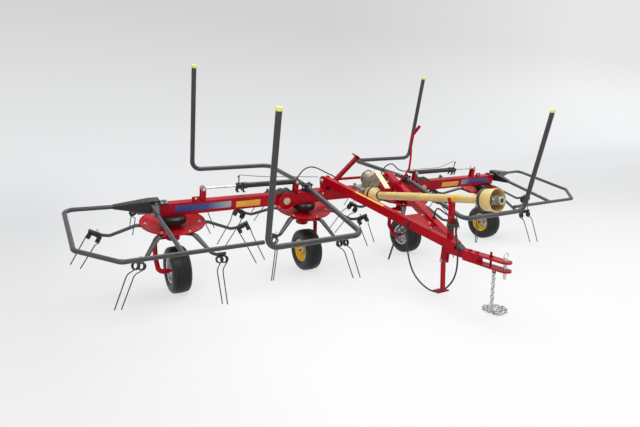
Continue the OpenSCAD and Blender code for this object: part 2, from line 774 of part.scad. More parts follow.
module post_caps() color("yellow") on_deck()
    for (side = [-1, 1], front = [-1, 1])
        translate([side * post_x, front * rail_y, rail_z + post_h]) cylinder(r = guard_r + 2, h = 26);

// Bevel drive housing that hangs under a beam
module housing(x) {
    translate([x, 0, 0])
        rotate_extrude()
            polygon([[0, housing_low], [75, housing_low], [housing_r, -36], [housing_r, 8], [92, beam_low], [0, beam_low]]);
}

module inner_housings() color("black") on_deck() {
    housing(rotor_x[1]);
    housing(rotor_x[2]);
}

// Spindle under a housing with the bent leg and stub axle of its wheel
module wheel_leg(i) {
    way = rotor_way[i] > 0 ? -1 : 1;
    translate([rotor_x[i], 0, 0]) {
        translate([0, 0, spindle_low]) cylinder(r = spindle_r, h = housing_low - spindle_low);
        translate([0, 0, spindle_low]) cylinder(r = collar_r, h = collar_h);
        bent_tube([
            [0, 0, spindle_low + 20], [way * leg_reach, 0, spindle_low + 20],
            [way * leg_reach, -30, -360], [way * leg_reach, hub_z[0], hub_z[1]], [way * 70, hub_z[0], hub_z[1]]
        ], leg_r, 45);
        translate([0, hub_z[0], hub_z[1]])
            rotate([0, 90, 0]) cylinder(r = axle_r, h = 150, center = true);
    }
}

module inner_legs() color("crimson") on_deck() {
    wheel_leg(1);
    wheel_leg(2);
}

module stand_leg() color("crimson") {
    foot_t = 10;
    // Side outline of the leg, rearward from the pivot and up from the ground
    translate([stand_x - stand_w / 2, pivot_y, 0])
        rotate([90, 0, 90])
            linear_extrude(stand_w)
                difference() {
                    union() {
                        polygon([
                            [-8, stand_z + 10], [8, stand_z + 10], [17, 245], [8, foot_t / 2], [-8, foot_t / 2], [1, 245]
                        ]);
                        translate([0, stand_z]) circle(r = 20);
                    }
                    translate([0, stand_z]) circle(r = stand_pin_r + turn_gap);
                }
    translate([stand_x - 62, pivot_y - 10, 0]) cube([130, 76, foot_t]);
}

module wing_beam(side) color("crimson") on_deck() {
    knuckle_r = 50;
    root = hinge_x + 60;
    difference() {
        union() {
            translate([side > 0 ? root : -wing_end, -beam_w / 2, beam_low]) cube([wing_end - root, beam_w, beam_h]);
            translate([side * hinge_x, 0, hinge_z]) rotate([90, 0, 0]) cylinder(r = knuckle_r, h = beam_w, center = true);
            translate([side > 0 ? hinge_x : -root - 1, -beam_w / 2, hinge_z - 38]) cube([61, beam_w, 76]);
        }
        translate([side * hinge_x, 0, hinge_z])
            rotate([90, 0, 0]) cylinder(r = hinge_pin_r + turn_gap, h = 200, center = true);
    }
    cylinder_bracket(side * rod_x, false);
}

module outer_guard(side) color("dimgray") on_deck() mirror([side < 0 ? 1 : 0, 0, 0]) {
    head_l = 80;
    head_w = 88;
    head_low = 62;
    head_h = 108;
    // Ends of the two tubes inside the head, and where the head's cones run out on them
    rear_tube = [wing_end + 130, 10, 125];
    rear_cone = [wing_end + 341, 52, 112];
    strut_tube = [wing_end + 65, -30, 115];
    strut_cone = [wing_end + 58, -210, 109];
    cone_r = hoop_r + 4;
    bent_tube([
        rear_tube, [hoop_x, 132, rail_z], [hoop_x, 255 - hoop_y, rail_z],
        [hoop_x - 257, -hoop_y, rail_z], [post_x - 20, -hoop_y, rail_z]
    ], hoop_r, 60);
    rod(strut_tube, [wing_end + 32, -hoop_y, rail_z], hoop_r);
    translate([wing_end, -head_w / 2, head_low]) cube([head_l, head_w, head_h]);
    hull() {
        translate([wing_end + head_l - 10, -head_w / 2, head_low]) cube([10, head_w, head_h]);
        rod(rear_cone, rear_cone + [6, 1.2, -0.4], cone_r);
    }
    hull() {
        translate([wing_end + 10, -head_w / 2, head_low]) cube([head_l - 10, 10, head_h - 20]);
        rod(strut_cone, strut_cone + [0, -6, 0], cone_r);
    }
    // Top plate over the end of the beam
    translate([wing_end - 70, -head_w / 2, beam_top]) cube([80, head_w, 10]);
}

module outer_housing(i) color("black") on_deck() housing(rotor_x[i]);

module outer_leg(i) color("crimson") on_deck() wheel_leg(i);

module barrel(side) color("dimgray") on_deck() mirror([side < 0 ? 1 : 0, 0, 0]) {
    foot = barrel_x + 26;
    block_l = 62;
    tip = barrel_x + barrel_len - block_l;
    stem_x = tip + 44;
    difference() {
        union() {
            translate([barrel_x, 0, eye_z]) rotate([90, 0, 0]) cylinder(r = 24, h = eye_w, center = true);
            rod([barrel_x + 12, 0, eye_z], [foot + 4, 0, eye_z], 14);
            rod([foot, 0, eye_z], [tip + 4, 0, eye_z], barrel_r);
            rod([tip - 34, 0, eye_z], [tip + 4, 0, eye_z], barrel_r + 5);
            // Valve block with its latch stem and port
            translate([tip + block_l / 2, 0, eye_z]) cube([block_l, 56, 40], center = true);
            rod([stem_x, 0, eye_z], [stem_x, 0, eye_z + 100], 5);
            rod([stem_x, 0, eye_z + 92], [stem_x + 16, 0, eye_z + 80], 4);
            rod([tip + 14, -20, eye_z + 10], [tip + 14, -20, eye_z + 34], 10);
        }
        translate([barrel_x, 0, eye_z]) rotate([90, 0, 0]) cylinder(r = eye_pin_r + turn_gap, h = 100, center = true);
        rod([foot + 20, 0, eye_z], [barrel_x + barrel_len + 50, 0, eye_z], rod_r + turn_gap);
    }
}

module piston_rod(side) color("silver") on_deck() {
    rod([side * (barrel_x + 364), 0, eye_z], [side * (rod_x - 10), 0, eye_z], rod_r);
    translate([side * rod_x, 0, eye_z]) rotate([90, 0, 0]) cylinder(r = 20, h = eye_w, center = true);
}

module dish(i) color("red") on_deck()
    translate([rotor_x[i], 0, 0])
        rotate_extrude()
            polygon([
                [spindle_r + turn_gap, -160], [56, -160], [56, dish_z - dish_t], [dish_flat_r, dish_z - dish_t],
                [dish_r - 6, dish_z - dish_t + dish_deep], [dish_r, dish_z + dish_deep - dish_t - 2],
                [dish_r, dish_z + dish_deep + 4], [dish_r - 6, dish_z + dish_deep], [dish_flat_r, dish_z],
                [56, dish_z], [56, -68], [spindle_r + turn_gap, -68]
            ]);

// Coil of a tine, its turns showing as ribs
module coil() {
    turns = 4;
    coil_w = 30;
    step = coil_w / turns;
    rotate([90, 0, 0])
        rotate_extrude($fn = 32)
            polygon(concat(
                [[0, -coil_w / 2]],
                [for (k = [0:turns - 1]) for (p = [[coil_r - 3.5, 0], [coil_r, step / 2]]) [p[0], p[1] + k * step - coil_w / 2]],
                [[coil_r - 3.5, coil_w / 2], [0, coil_w / 2]]
            ));
}

// Tine arms of rotor i, each a bent tube with a drum, two coils and two sprung wires
module arms(i) color("dimgray") on_deck()
    translate([rotor_x[i], 0, 0])
        for (k = [0:arm_count - 1])
            rotate([0, 0, rotor_turn[i] + k * 360 / arm_count]) {
                pad_top = dish_z - dish_t;
                pad_x = 100;
                pad_h = 18;
                // Where the wires bend, and how far the tips trail behind the coils
                knee = [coil_far + 49, 30, coil_z - 70];
                trail = 47;
                translate([pad_x, -22, pad_top - pad_h]) cube([50, 44, pad_h]);
                kinked_rod([
                    [pad_x, 0, pad_top - 17], [coil_far - 80, 0, coil_z + 22], [coil_far - 40, 0, coil_z + 4],
                    [coil_far, 0, coil_z]
                ], arm_r);
                translate([coil_far, 0, coil_z]) rotate([90, 0, 0]) cylinder(r = 15, h = tine_gap + 24, center = true);
                for (j = [-1, 1]) {
                    y = j * tine_gap / 2;
                    translate([coil_far, y, coil_z]) coil();
                    kinked_rod([
                        [coil_far + 12, y, coil_z - 18], [knee.x, y - rotor_way[i] * knee.y, knee.z],
                        [tip_far, y - rotor_way[i] * trail, tip_z]
                    ], wire_r);
                }
            }

module tyre(i) color("black")
    translate([rotor_x[i], wheel_y, wheel_z]) rotate([0, 90, 0])
        rotate_extrude() {
            r = tyre_d / 2;
            w = tyre_w / 2;
            polygon([
                [rim_r + seat, -60], [rim_r + 11, -62], [rim_r + 24, -w + 3], [r - 43, -w], [r - 18, -w + 8], [r - 5, -w + 27],
                [r, -w + 52], [r, w - 52], [r - 5, w - 27], [r - 18, w - 8], [r - 43, w], [rim_r + 24, w - 3],
                [rim_r + 11, 62], [rim_r + seat, 60]
            ]);
        }

module rim(i) color("gold")
    translate([rotor_x[i], wheel_y, wheel_z]) rotate([0, 90, 0])
        rotate_extrude()
            polygon([
                [axle_r + turn_gap, -45], [36, -45], [36, -4], [rim_r - 4, -4], [rim_r - 4, -62], [rim_r + 10, -62 - seat - 4],
                [rim_r + 10, -62 - seat], [rim_r, -60], [rim_r, 60], [rim_r + 10, 62 + seat], [rim_r + 10, 66 + seat],
                [rim_r - 4, 62], [rim_r - 4, 4], [36, 4], [36, 45], [axle_r + turn_gap, 45]
            ]);

centre_frame();
hinge_pins();
drawbar(-1);  // drawbar_left
drawbar(1);  // drawbar_right
drawbar_head();
hitch_clevis();
hitch_pin();
safety_chain();
gearbox();
hook_strap();
mast();
tilt_lever();
drive_shaft();
shaft_guard();
hose_holder();
hose_couplings();
hose_loop();
hose_arc();
hose_left();
hose_right();
inner_guards();
guard_clamps();
post_caps();
inner_housings();
inner_legs();
stand_leg();
wing_beam(-1);  // wing_beam_left
outer_guard(-1);  // outer_guard_left
outer_housing(0);  // outer_housing_left
outer_leg(0);  // outer_leg_left
barrel(-1);  // barrel_left
piston_rod(-1);  // rod_left
wing_beam(1);  // wing_beam_right
outer_guard(1);  // outer_guard_right
outer_housing(3);  // outer_housing_right
outer_leg(3);  // outer_leg_right
barrel(1);  // barrel_right
piston_rod(1);  // rod_right
dish(0);  // dish_1
dish(1);  // dish_2
dish(2);  // dish_3
dish(3);  // dish_4
arms(0);  // arms_1
arms(1);  // arms_2
arms(2);  // arms_3
arms(3);  // arms_4
tyre(0);  // tyre_1
tyre(1);  // tyre_2
tyre(2);  // tyre_3
tyre(3);  // tyre_4
rim(0);  // rim_1
rim(1);  // rim_2
rim(2);  // rim_3
rim(3);  // rim_4
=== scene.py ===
# %% [markdown]
# # A hay tedder, finished in Blender
#
# A hay tedder is pulled over cut grass. Its rotors throw the grass up with sprung tines, so that it dries.
# The machine's solids come from a CAD model, which is loaded here as a fixed frame. This file gives every
# solid its finish and adds what a CAD model leaves out: tread, bolts, coils, hoses, rubber boots and wear.

# %% Load the machine
import json
import math

import bmesh
import bpy
from mathutils import Matrix, Vector


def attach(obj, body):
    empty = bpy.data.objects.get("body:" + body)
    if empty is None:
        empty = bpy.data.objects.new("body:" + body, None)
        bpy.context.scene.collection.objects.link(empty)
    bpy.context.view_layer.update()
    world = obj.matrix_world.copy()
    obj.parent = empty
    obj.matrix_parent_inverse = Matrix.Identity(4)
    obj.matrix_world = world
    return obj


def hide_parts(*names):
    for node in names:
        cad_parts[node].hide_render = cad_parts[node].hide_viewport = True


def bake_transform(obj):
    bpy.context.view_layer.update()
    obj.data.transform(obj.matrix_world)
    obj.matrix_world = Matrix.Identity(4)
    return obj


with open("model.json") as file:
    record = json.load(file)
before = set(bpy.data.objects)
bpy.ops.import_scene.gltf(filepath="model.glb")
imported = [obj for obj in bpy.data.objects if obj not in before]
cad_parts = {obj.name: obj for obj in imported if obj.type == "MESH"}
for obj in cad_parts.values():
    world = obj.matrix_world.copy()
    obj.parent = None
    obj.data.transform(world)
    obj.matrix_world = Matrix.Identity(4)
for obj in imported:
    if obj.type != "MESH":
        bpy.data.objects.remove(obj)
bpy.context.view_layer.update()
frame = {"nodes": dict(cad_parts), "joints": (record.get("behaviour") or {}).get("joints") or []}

SOLIDS = frame["nodes"]
JOINTS = {joint["name"]: joint for joint in frame["joints"]}

# %% [markdown]
# The rotors, beams and guards stand in one plane that leans forward, and this file calls it the deck. Nearly
# every detail is easier to place on the deck than on the ground, so the first helper turns deck places into
# places on the ground. The rotor joints carry all that is needed: where the deck is, and how far it leans.

# %% The deck
LINE = Vector(JOINTS["rotor_2_spin"]["pos_m"])
PITCH = JOINTS["rotor_3_spin"]["pos_m"][0] - LINE.x
UP = Vector(JOINTS["rotor_2_spin"]["axis"])
REAR = Vector((0, UP.z, -UP.y))
ROTOR_X = [PITCH * step for step in (-1.5, -0.5, 0.5, 1.5)]
ROTOR_WAY = (1, -1, 1, -1)
ROTOR_BODY = ("wing_left", "base", "base", "wing_right")
SIDES = ((-1, "left"), (1, "right"))
DECK = Matrix((
    (1, REAR.x, UP.x, 0),
    (0, REAR.y, UP.y, LINE.y),
    (0, REAR.z, UP.z, LINE.z),
    (0, 0, 0, 1),
))


def deck(x, rear, up):
    """Place on the ground frame of a place on the deck, in metres."""
    return DECK @ Vector((x, rear, up))


def rotor_place(number):
    """Frame of one rotor, counted from the left: its axle along Z and its origin on the deck."""
    return DECK @ Matrix.Translation((ROTOR_X[number - 1], 0, 0))


def axes_of(place):
    """The three unit vectors of a frame."""
    return [column.normalized() for column in place.to_3x3().col]


print("deck leans", round(math.degrees(math.asin(-UP.y)), 1), "degrees, rotors", round(PITCH, 3), "m apart")

# %% [markdown]
# ## Trees of nodes
#
# Blender keeps both materials and procedural shapes as trees of nodes. NodeTree has the one method that both
# need: it adds any node from its type, its settings and its inputs, and an input is a number or a socket. The
# same trees could be drawn by hand in the editor. Code is used because it gives the same tree every time.


# %% Trees of nodes
class NodeTree:
    """A tree that nodes are added to."""

    def __init__(self, tree):
        self.tree = tree

    def node(self, kind, settings=None, inputs=None):
        """Adds a node; its settings are set before its inputs, because they can change which inputs there are."""
        made = self.tree.nodes.new(kind)
        for key, value in (settings or {}).items():
            setattr(made, key, value)
        for key, value in (inputs or {}).items():
            self.feed(made.inputs[key], value)
        return made

    def feed(self, socket, value):
        """Gives an input its number, or links it to the output that feeds it."""
        if isinstance(value, Value):
            value = value.socket
        if isinstance(value, bpy.types.NodeSocket):
            self.tree.links.new(value, socket)
        else:
            socket.default_value = value


print("tree of nodes ready")

# %% [markdown]
# ## Shader maths that reads like Python
#
# Sums are clumsy to write as nodes. Value wraps one socket and overloads the operators, so that
# (1 - dust) * 0.3 adds its Math nodes by itself.


# %% Values
class Value:
    """A number inside a tree, such as one that changes over a surface."""

    def __init__(self, owner, socket):
        self.owner = owner
        self.socket = socket

    def maths(self, operation, first, second, clamp=False):
        settings = {"operation": operation, "use_clamp": clamp}
        node = self.owner.node("ShaderNodeMath", settings, {0: first, 1: second})
        return Value(self.owner, node.outputs[0])

    def __add__(self, other):
        return self.maths("ADD", self, other)

    def __radd__(self, other):
        return self.maths("ADD", other, self)

    def __sub__(self, other):
        return self.maths("SUBTRACT", self, other)

    def __rsub__(self, other):
        return self.maths("SUBTRACT", other, self)

    def __mul__(self, other):
        return self.maths("MULTIPLY", self, other)

    def __rmul__(self, other):
        return self.maths("MULTIPLY", other, self)

    def __rtruediv__(self, other):
        return self.maths("DIVIDE", other, self)

    def __abs__(self):
        return self.maths("ABSOLUTE", self, 0.0)

    def clamped(self):
        """The same number, kept between 0 and 1."""
        return self.maths("MULTIPLY", self, 1.0, clamp=True)


print("shader maths ready")

# %% [markdown]
# Finish is one material with its shader. Its methods are the few things that paint, metal and rubber need: noise
# for unevenness, edges for rubbed corners, upward for the dust that lies on top, and relief for fine bumps. Noise
# reads the object's own coordinates, so that a pattern stays on its part when the part turns.


# %% Finishes
class Finish(NodeTree):
    """One material, built from nodes."""

    def __init__(self, name):
        self.material = bpy.data.materials.new(name)
        self.material.use_nodes = True
        super().__init__(self.material.node_tree)
        self.tree.nodes.clear()
        self.shader = self.node("ShaderNodeBsdfPrincipled")
        self.end = self.node("ShaderNodeOutputMaterial", inputs={"Surface": self.shader.outputs["BSDF"]})
        self.place = self.node("ShaderNodeTexCoord").outputs["Object"]

    def set(self, **inputs):
        """Sets the shader's inputs; an underscore stands for a space."""
        for key, value in inputs.items():
            if isinstance(value, tuple) and len(value) == 3:
                value = (*value, 1)
            self.feed(self.shader.inputs[key.replace("_", " ")], value)

    def noise(self, scale, detail=3.0, stretch=(1, 1, 1)):
        """Clouds from 0 to 1, with about this many to a metre, and stretched along an axis if asked."""
        moved = self.node("ShaderNodeMapping", inputs={"Vector": self.place, "Scale": stretch})
        inputs = {"Vector": moved.outputs[0], "Scale": scale, "Detail": detail}
        return Value(self, self.node("ShaderNodeTexNoise", inputs=inputs).outputs[0])

    def range(self, value, low, high, out_low=0.0, out_high=1.0):
        """The value, with low to high spread over the new range and held at its ends."""
        inputs = {"Value": value, "From Min": low, "From Max": high, "To Min": out_low, "To Max": out_high}
        return Value(self, self.node("ShaderNodeMapRange", inputs=inputs).outputs[0])

    def mix(self, factor, first, second):
        """Colour that goes from first to second."""
        colours = [(*c, 1) if isinstance(c, tuple) and len(c) == 3 else c for c in (first, second)]
        node = self.node("ShaderNodeMix", {"data_type": "RGBA"}, {0: factor, 6: colours[0], 7: colours[1]})
        return node.outputs[2]

    def edges(self, radius):
        """1 where the surface turns a corner within the radius, and 0 on flat ground."""
        soft = self.rounded_normal(radius)
        true = self.node("ShaderNodeNewGeometry").outputs["Normal"]
        dot = self.node("ShaderNodeVectorMath", {"operation": "DOT_PRODUCT"}, {0: soft, 1: true})
        return self.range(Value(self, dot.outputs["Value"]), 0.995, 0.86)

    def rounded_normal(self, radius):
        """The surface's normal, with its edges rounded to the radius in the shader."""
        return self.node("ShaderNodeBevel", {"samples": 4}, {"Radius": radius}).outputs[0]

    def upward(self):
        """How far the surface looks up, from -1 to 1."""
        normal = self.node("ShaderNodeNewGeometry").outputs["Normal"]
        return Value(self, self.node("ShaderNodeSeparateXYZ", inputs={0: normal}).outputs["Z"])

    def axis(self, name):
        """One coordinate of the place, in metres."""
        return Value(self, self.node("ShaderNodeSeparateXYZ", inputs={0: self.place}).outputs[name])

    def relief(self, height, depth, round_edge=0.0):
        """Feeds the normal with bumps of the given depth, over edges rounded in the shader."""
        inputs = {"Height": height, "Strength": 1.0, "Distance": depth}
        if round_edge:
            inputs["Normal"] = self.rounded_normal(round_edge)
        self.set(Normal=self.node("ShaderNodeBump", inputs=inputs).outputs[0])


print("finishes ready")

# %% [markdown]
# ## Paints, metals and mouldings
#
# Paint on farm machines is glossy, a little uneven, and picks up a grey bloom of dust on what faces up. Edges
# lose their colour first. That could be painted by hand on a picture of each part. Here one function makes every
# paint from noise, given its colour, gloss, dust and wear, because noise fits any shape without a map.


# %% Paint
DUST = (0.50, 0.46, 0.40)


def paint(name, colour, worn, gloss=0.26, coat=0.3, dust=0.03, wear=0.25, shine=0.35):
    """Sprayed paint of a linear colour; worn is the colour that rubbed edges turn to."""
    finish = Finish(name)
    drift = finish.noise(2.2, 2.0)
    speck = finish.noise(90.0, 4.0)
    deep = tuple(0.80 * c for c in colour)
    base = finish.mix(finish.range(drift, 0.35, 0.65), deep, colour)
    rubbed = (finish.edges(0.0035) * finish.range(speck, 0.42, 0.62)) * wear
    base = finish.mix(rubbed.clamped(), base, worn)
    lying = (finish.range(finish.upward(), 0.3, 1.0) * finish.range(finish.noise(14.0, 5.0), 0.35, 0.75)) * dust
    base = finish.mix(lying.clamped(), base, DUST)
    # Dust and rubbing both dull the polish
    finish.set(Base_Color=base, Roughness=gloss + lying * 1.5 + rubbed * 0.3)
    finish.set(Coat_Roughness=0.1, Coat_IOR=1.3, Specular_IOR_Level=shine)
    finish.set(Coat_Weight=(1 - lying * 3.0).clamped() * coat)
    finish.relief(finish.noise(160.0, 2.0), 0.00025, round_edge=0.002)
    return finish.material


RED = paint("red_paint", (0.50, 0.003, 0.014), worn=(0.60, 0.10, 0.09), coat=0.06, shine=0.11)
DISH_RED = paint("dish_red_paint", (0.56, 0.0015, 0.010), worn=(0.60, 0.10, 0.09), gloss=0.2, coat=0.05, shine=0.07)
DARK_RED = paint("cast_red_paint", (0.33, 0.0025, 0.010), worn=(0.5, 0.1, 0.08), gloss=0.4, coat=0.1, shine=0.16)
GUARD_GREY = paint("guard_grey_paint", (0.059, 0.061, 0.067), worn=(0.25, 0.25, 0.26), gloss=0.36, coat=0.14)
# Painted shade: a darker copy of the guards' grey, for the shade that falls on the arms under the dishes
SHADED_ARM_GREY = paint("arm_grey_paint", (0.036, 0.038, 0.043), worn=(0.20, 0.20, 0.21), gloss=0.34, coat=0.14)
BLACK = paint("black_paint", (0.013, 0.013, 0.015), worn=(0.12, 0.12, 0.12), gloss=0.35, coat=0.18)
YELLOW = paint("yellow_paint", (1.0, 0.64, 0.03), worn=(0.7, 0.55, 0.3), gloss=0.32)
print("paints:", *(made.name for made in (RED, DISH_RED, DARK_RED, GUARD_GREY, SHADED_ARM_GREY, BLACK, YELLOW)))

# %% [markdown]
# Bare metal needs no colour of its own beyond a grey: its look comes from the roughness, which is brushed along
# one way on a piston rod, blotchy on zinc plate, and coarse on a casting. Rubber and plastic come out of their
# moulds with a fine even grain, so they get a function of their own without wear at the edges.


# %% Bare metal, rubber and plastic
def metal(name, colour, rough, patch=0.1, grain=60.0, stretch=(1, 1, 1), depth=0.0002):
    """Bare metal; patch is how much its roughness drifts, and stretch draws the grain out along an axis."""
    finish = Finish(name)
    cloud = finish.noise(25.0, 4.0)
    lines = finish.noise(grain, 3.0, stretch)
    dull = tuple(0.62 * c for c in colour)
    finish.set(Base_Color=finish.mix(finish.range(cloud, 0.35, 0.7), colour, dull), Metallic=0.85)
    finish.set(Roughness=rough + finish.range(lines, 0.3, 0.7, -patch, patch))
    finish.relief(lines, depth, round_edge=0.001)
    return finish.material


def moulded(name, colour, rough, dust=0.15, grain=240.0, depth=0.0002, shine=0.5):
    """Plastic or rubber straight from the mould."""
    finish = Finish(name)
    cloud = finish.range(finish.noise(9.0, 4.0), 0.35, 0.7)
    lying = (finish.range(finish.upward(), 0.0, 1.0) * cloud) * dust
    soiled = tuple(0.75 * c for c in colour)
    base = finish.mix(finish.range(finish.noise(5.0), 0.35, 0.65), soiled, colour)
    finish.set(Base_Color=finish.mix(lying.clamped(), base, DUST), Roughness=rough + lying * 0.5)
    finish.set(Specular_IOR_Level=shine)
    finish.relief(finish.noise(grain, 3.0), depth, round_edge=0.0015)
    return finish.material


CAST = metal("cast_housing", (0.42, 0.38, 0.32), 0.62, grain=220.0, depth=0.0012)
ZINC = metal("zinc_plate", (0.62, 0.62, 0.60), 0.34)
ROD_CHROME = metal("polished_rod", (0.66, 0.66, 0.68), 0.30, patch=0.05, grain=400.0, stretch=(0.05, 1, 1))
SPRING = metal("spring_steel", (0.055, 0.055, 0.060), 0.42, grain=150.0)
STRAP = metal("sand_strap", (0.70, 0.58, 0.36), 0.48, grain=120.0)
WHEEL_GREY = metal("wheel_zinc", (0.60, 0.61, 0.62), 0.45)
RUBBER = moulded("boot_rubber", (0.022, 0.023, 0.024), 0.62)
TYRE = moulded("tyre_rubber", (0.010, 0.010, 0.0105), 0.42, dust=0.05, grain=320.0, depth=0.0004, shine=0.36)
HOSE = moulded("hose_rubber", (0.012, 0.012, 0.013), 0.42, dust=0.05, grain=500.0)
BLACK_PLASTIC = moulded("black_plastic", (0.02, 0.02, 0.021), 0.5)
KHAKI = moulded("shaft_guard_plastic", (0.80, 0.59, 0.22), 0.42, dust=0.10, shine=0.6)
CAP_YELLOW = moulded("cap_plastic", (0.96, 0.98, 0.26), 0.5, dust=0.02)
CREAM = moulded("cream_plastic", (0.72, 0.63, 0.48), 0.5, dust=0.05)
ORANGE = moulded("reflector_orange", (1.0, 0.47, 0.03), 0.3, dust=0.02)
STRIPE = moulded("stripe_yellow", (0.90, 0.55, 0.03), 0.4, dust=0.02)


def faded_plate(name, first, second, start, end):
    """A printed plate that fades from one colour to the other as |X| goes from end to start."""
    finish = Finish(name)
    share = finish.range(abs(finish.axis("X")), end, start)
    finish.set(Base_Color=finish.mix(share, first, second), Roughness=0.35)
    return finish.material


NAME_PLATE = faded_plate("name_plate_print", (0.02, 0.05, 0.24), (0.40, 0.44, 0.52), 1.42, 1.62)
print("metals and mouldings ready")

# %% [markdown]
# Each solid of the CAD model now gets its finish. It could be picked by hand, solid by solid. A table from the
# solid's name to its finish is shorter, because left and right, and the four rotors, share a line.

# %% Finish the solids
FINISH_OF = {
    "centre_frame": RED, "hinge_pins": CREAM, "drawbar": RED, "hitch_clevis": RED, "hitch_pin": ZINC,
    "safety_chain": ZINC, "gearbox": CAST, "hook_strap": STRAP, "mast": DARK_RED, "tilt_lever": RED,
    "drive_shaft": ZINC, "shaft_guard": KHAKI, "hose_holder": BLACK_PLASTIC, "hose_couplings": BLACK_PLASTIC,
    "hose": HOSE, "inner_guards": GUARD_GREY, "guard_clamps": BLACK,
    "post_caps": CAP_YELLOW, "inner_housings": BLACK, "inner_legs": RED, "stand_leg": RED,
    "wing_beam": RED, "outer_guard": GUARD_GREY, "outer_housing": BLACK, "outer_leg": RED, "barrel": BLACK,
    "rod": ROD_CHROME, "dish": DISH_RED, "arms": GUARD_GREY, "tyre": TYRE, "rim": YELLOW,
}


def dress(solid, material):
    """Gives all of a solid one finish."""
    solid.data.materials.clear()
    solid.data.materials.append(material)
    for face in solid.data.polygons:
        face.material_index = 0


for name, solid in SOLIDS.items():
    kind = name if name in FINISH_OF else name.rsplit("_", 1)[0]
    dress(solid, FINISH_OF[kind])
# The holders that the outer guards plug into are black; their tubes are not
HOLDER_REACH, HOLDER_DEPTH = 2.362, -0.215
for name in ("outer_guard_left", "outer_guard_right"):
    data = SOLIDS[name].data
    data.materials.append(BLACK)
    for face in data.polygons:
        place = DECK.inverted() @ face.center
        if abs(place.x) < HOLDER_REACH and place.y > HOLDER_DEPTH:
            face.material_index = 1
print("finished", len(SOLIDS), "solids")

# %% [markdown]
# ## Camera
#
# The photograph was taken from the front left, low, with a wide lens. The camera could be moved about until the
# render looks right. Its place was worked out from the machine's known sizes instead, so that the render can be
# laid over the photograph.


# %% Camera
def in_scene(name, data):
    """A new object of a mesh, a lamp or a camera, put in the scene."""
    made = bpy.data.objects.new(name, data)
    bpy.context.scene.collection.objects.link(made)
    return made


def look_at(made, place, target):
    """Puts a camera or a lamp at a place, turned to its target."""
    made.location = place
    made.rotation_euler = (Vector(target) - Vector(place)).to_track_quat("-Z", "Y").to_euler()


CAMERA_PLACE = Vector((-2.9246, -3.6193, 1.4897))
CAMERA_TARGET = Vector((-0.3749, 0.6392, 0.5074))
LENS = 27.53

lens = bpy.data.cameras.new("camera")
lens.lens = LENS
lens.sensor_width = 36.0
lens.clip_end = 100.0
camera = in_scene("camera", lens)
look_at(camera, CAMERA_PLACE, CAMERA_TARGET)
bpy.context.scene.camera = camera
print("camera", [round(v, 2) for v in CAMERA_PLACE])

# %% [markdown]
# ## Hydraulic hoses
#
# Rubber hoses carry oil from the tractor to the cylinders. They could be curve objects with a bevel. Here a
# smooth curve goes through points and a round tube is swept along it, because the same two helpers also make
# cords, tine arms and valve stems, and the line itself is needed to measure a hose's length.


# %% Swept tubes
def curve_through(points, steps):
    """Points of a smooth curve through all the given ones."""
    points = [Vector(p) for p in points]
    found = []
    for i in range(len(points) - 1):
        a, b, c, d = (points[min(max(i + k, 0), len(points) - 1)] for k in (-1, 0, 1, 2))
        for step in range(steps):
            t = step / steps
            found.append(0.5 * (2 * b + (c - a) * t + (2 * a - 5 * b + 4 * c - d) * t ** 2
                                + (3 * b - a - 3 * c + d) * t ** 3))
    return found + [points[-1]]


def join_rings(mesh, rings):
    """Adds the skin over rings of points, one after the other, and closes both ends."""
    for low, high in zip(rings, rings[1:]):
        for k in range(len(low)):
            mesh.faces.new((low[k - 1], low[k], high[k], high[k - 1]))
    mesh.faces.new(reversed(rings[0]))
    mesh.faces.new(rings[-1])


def sweep_tube(mesh, path, radius, sides, across=None, thick=None):
    """Adds a tube along a path to a bmesh. Radius is a number or one for each point. A flattened tube has the
    radius along the given way across it, and thick the other way."""
    radii = radius if isinstance(radius, (list, tuple)) else [radius] * len(path)
    thick = thick or radii
    across = across or (path[1] - path[0]).orthogonal().normalized()
    rings = []
    for i, place in enumerate(path):
        along = (path[min(i + 1, len(path) - 1)] - path[max(i - 1, 0)]).normalized()
        across = (across - across.dot(along) * along).normalized()
        side = along.cross(across)
        rings.append([
            mesh.verts.new(place + radii[i] * math.cos(a) * across + thick[i] * math.sin(a) * side)
            for a in (math.tau * k / sides for k in range(sides))
        ])
    join_rings(mesh, rings)


print("tube sweeping ready")

# %% [markdown]
# Clamps, plates and hooks are boxes with a small bevel, which catches the light as a real edge does. Whatever
# its shape, a mesh becomes a piece of the machine in one place, which welds it, turns its faces outwards and
# lets it ride on its body.


# %% Boxes and pieces
def add_box(mesh, centre, half, axes, bevel=0.0):
    """Adds a box from its centre, half sizes and three axes, with its edges bevelled if asked."""
    ends = [-1, 1]
    corners = [
        mesh.verts.new(Vector(centre) + sum((s * h * a for s, h, a in zip(signs, half, axes)), Vector()))
        for signs in ((x, y, z) for x in ends for y in ends for z in ends)
    ]
    faces = [
        mesh.faces.new([corners[i] for i in loop])
        for loop in ((0, 1, 3, 2), (4, 6, 7, 5), (0, 4, 5, 1), (2, 3, 7, 6), (0, 2, 6, 4), (1, 5, 7, 3))
    ]
    if bevel:
        edges = list({edge for face in faces for edge in face.edges})
        bmesh.ops.bevel(mesh, geom=edges, offset=bevel, segments=2, affect="EDGES", profile=0.6)


def smooth_piece(name, data, smooth=math.radians(35)):
    """Makes an object of a mesh, with sharp edges where faces meet at more than the given angle."""
    data.shade_smooth()
    data.set_sharp_from_angle(angle=smooth)
    return in_scene(name, data)


def add_piece(name, mesh, materials, body=None, **smooth):
    """Makes a piece of a bmesh, welded and with its faces outwards, riding on its body."""
    bmesh.ops.remove_doubles(mesh, verts=mesh.verts, dist=1e-6)
    bmesh.ops.recalc_face_normals(mesh, faces=mesh.faces)
    data = bpy.data.meshes.new(name)
    mesh.to_mesh(data)
    mesh.free()
    for material in materials if isinstance(materials, (list, tuple)) else [materials]:
        data.materials.append(material)
    piece = smooth_piece(name, data, **smooth)
    if body:
        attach(piece, body)
    return piece


print("boxes and pieces ready")
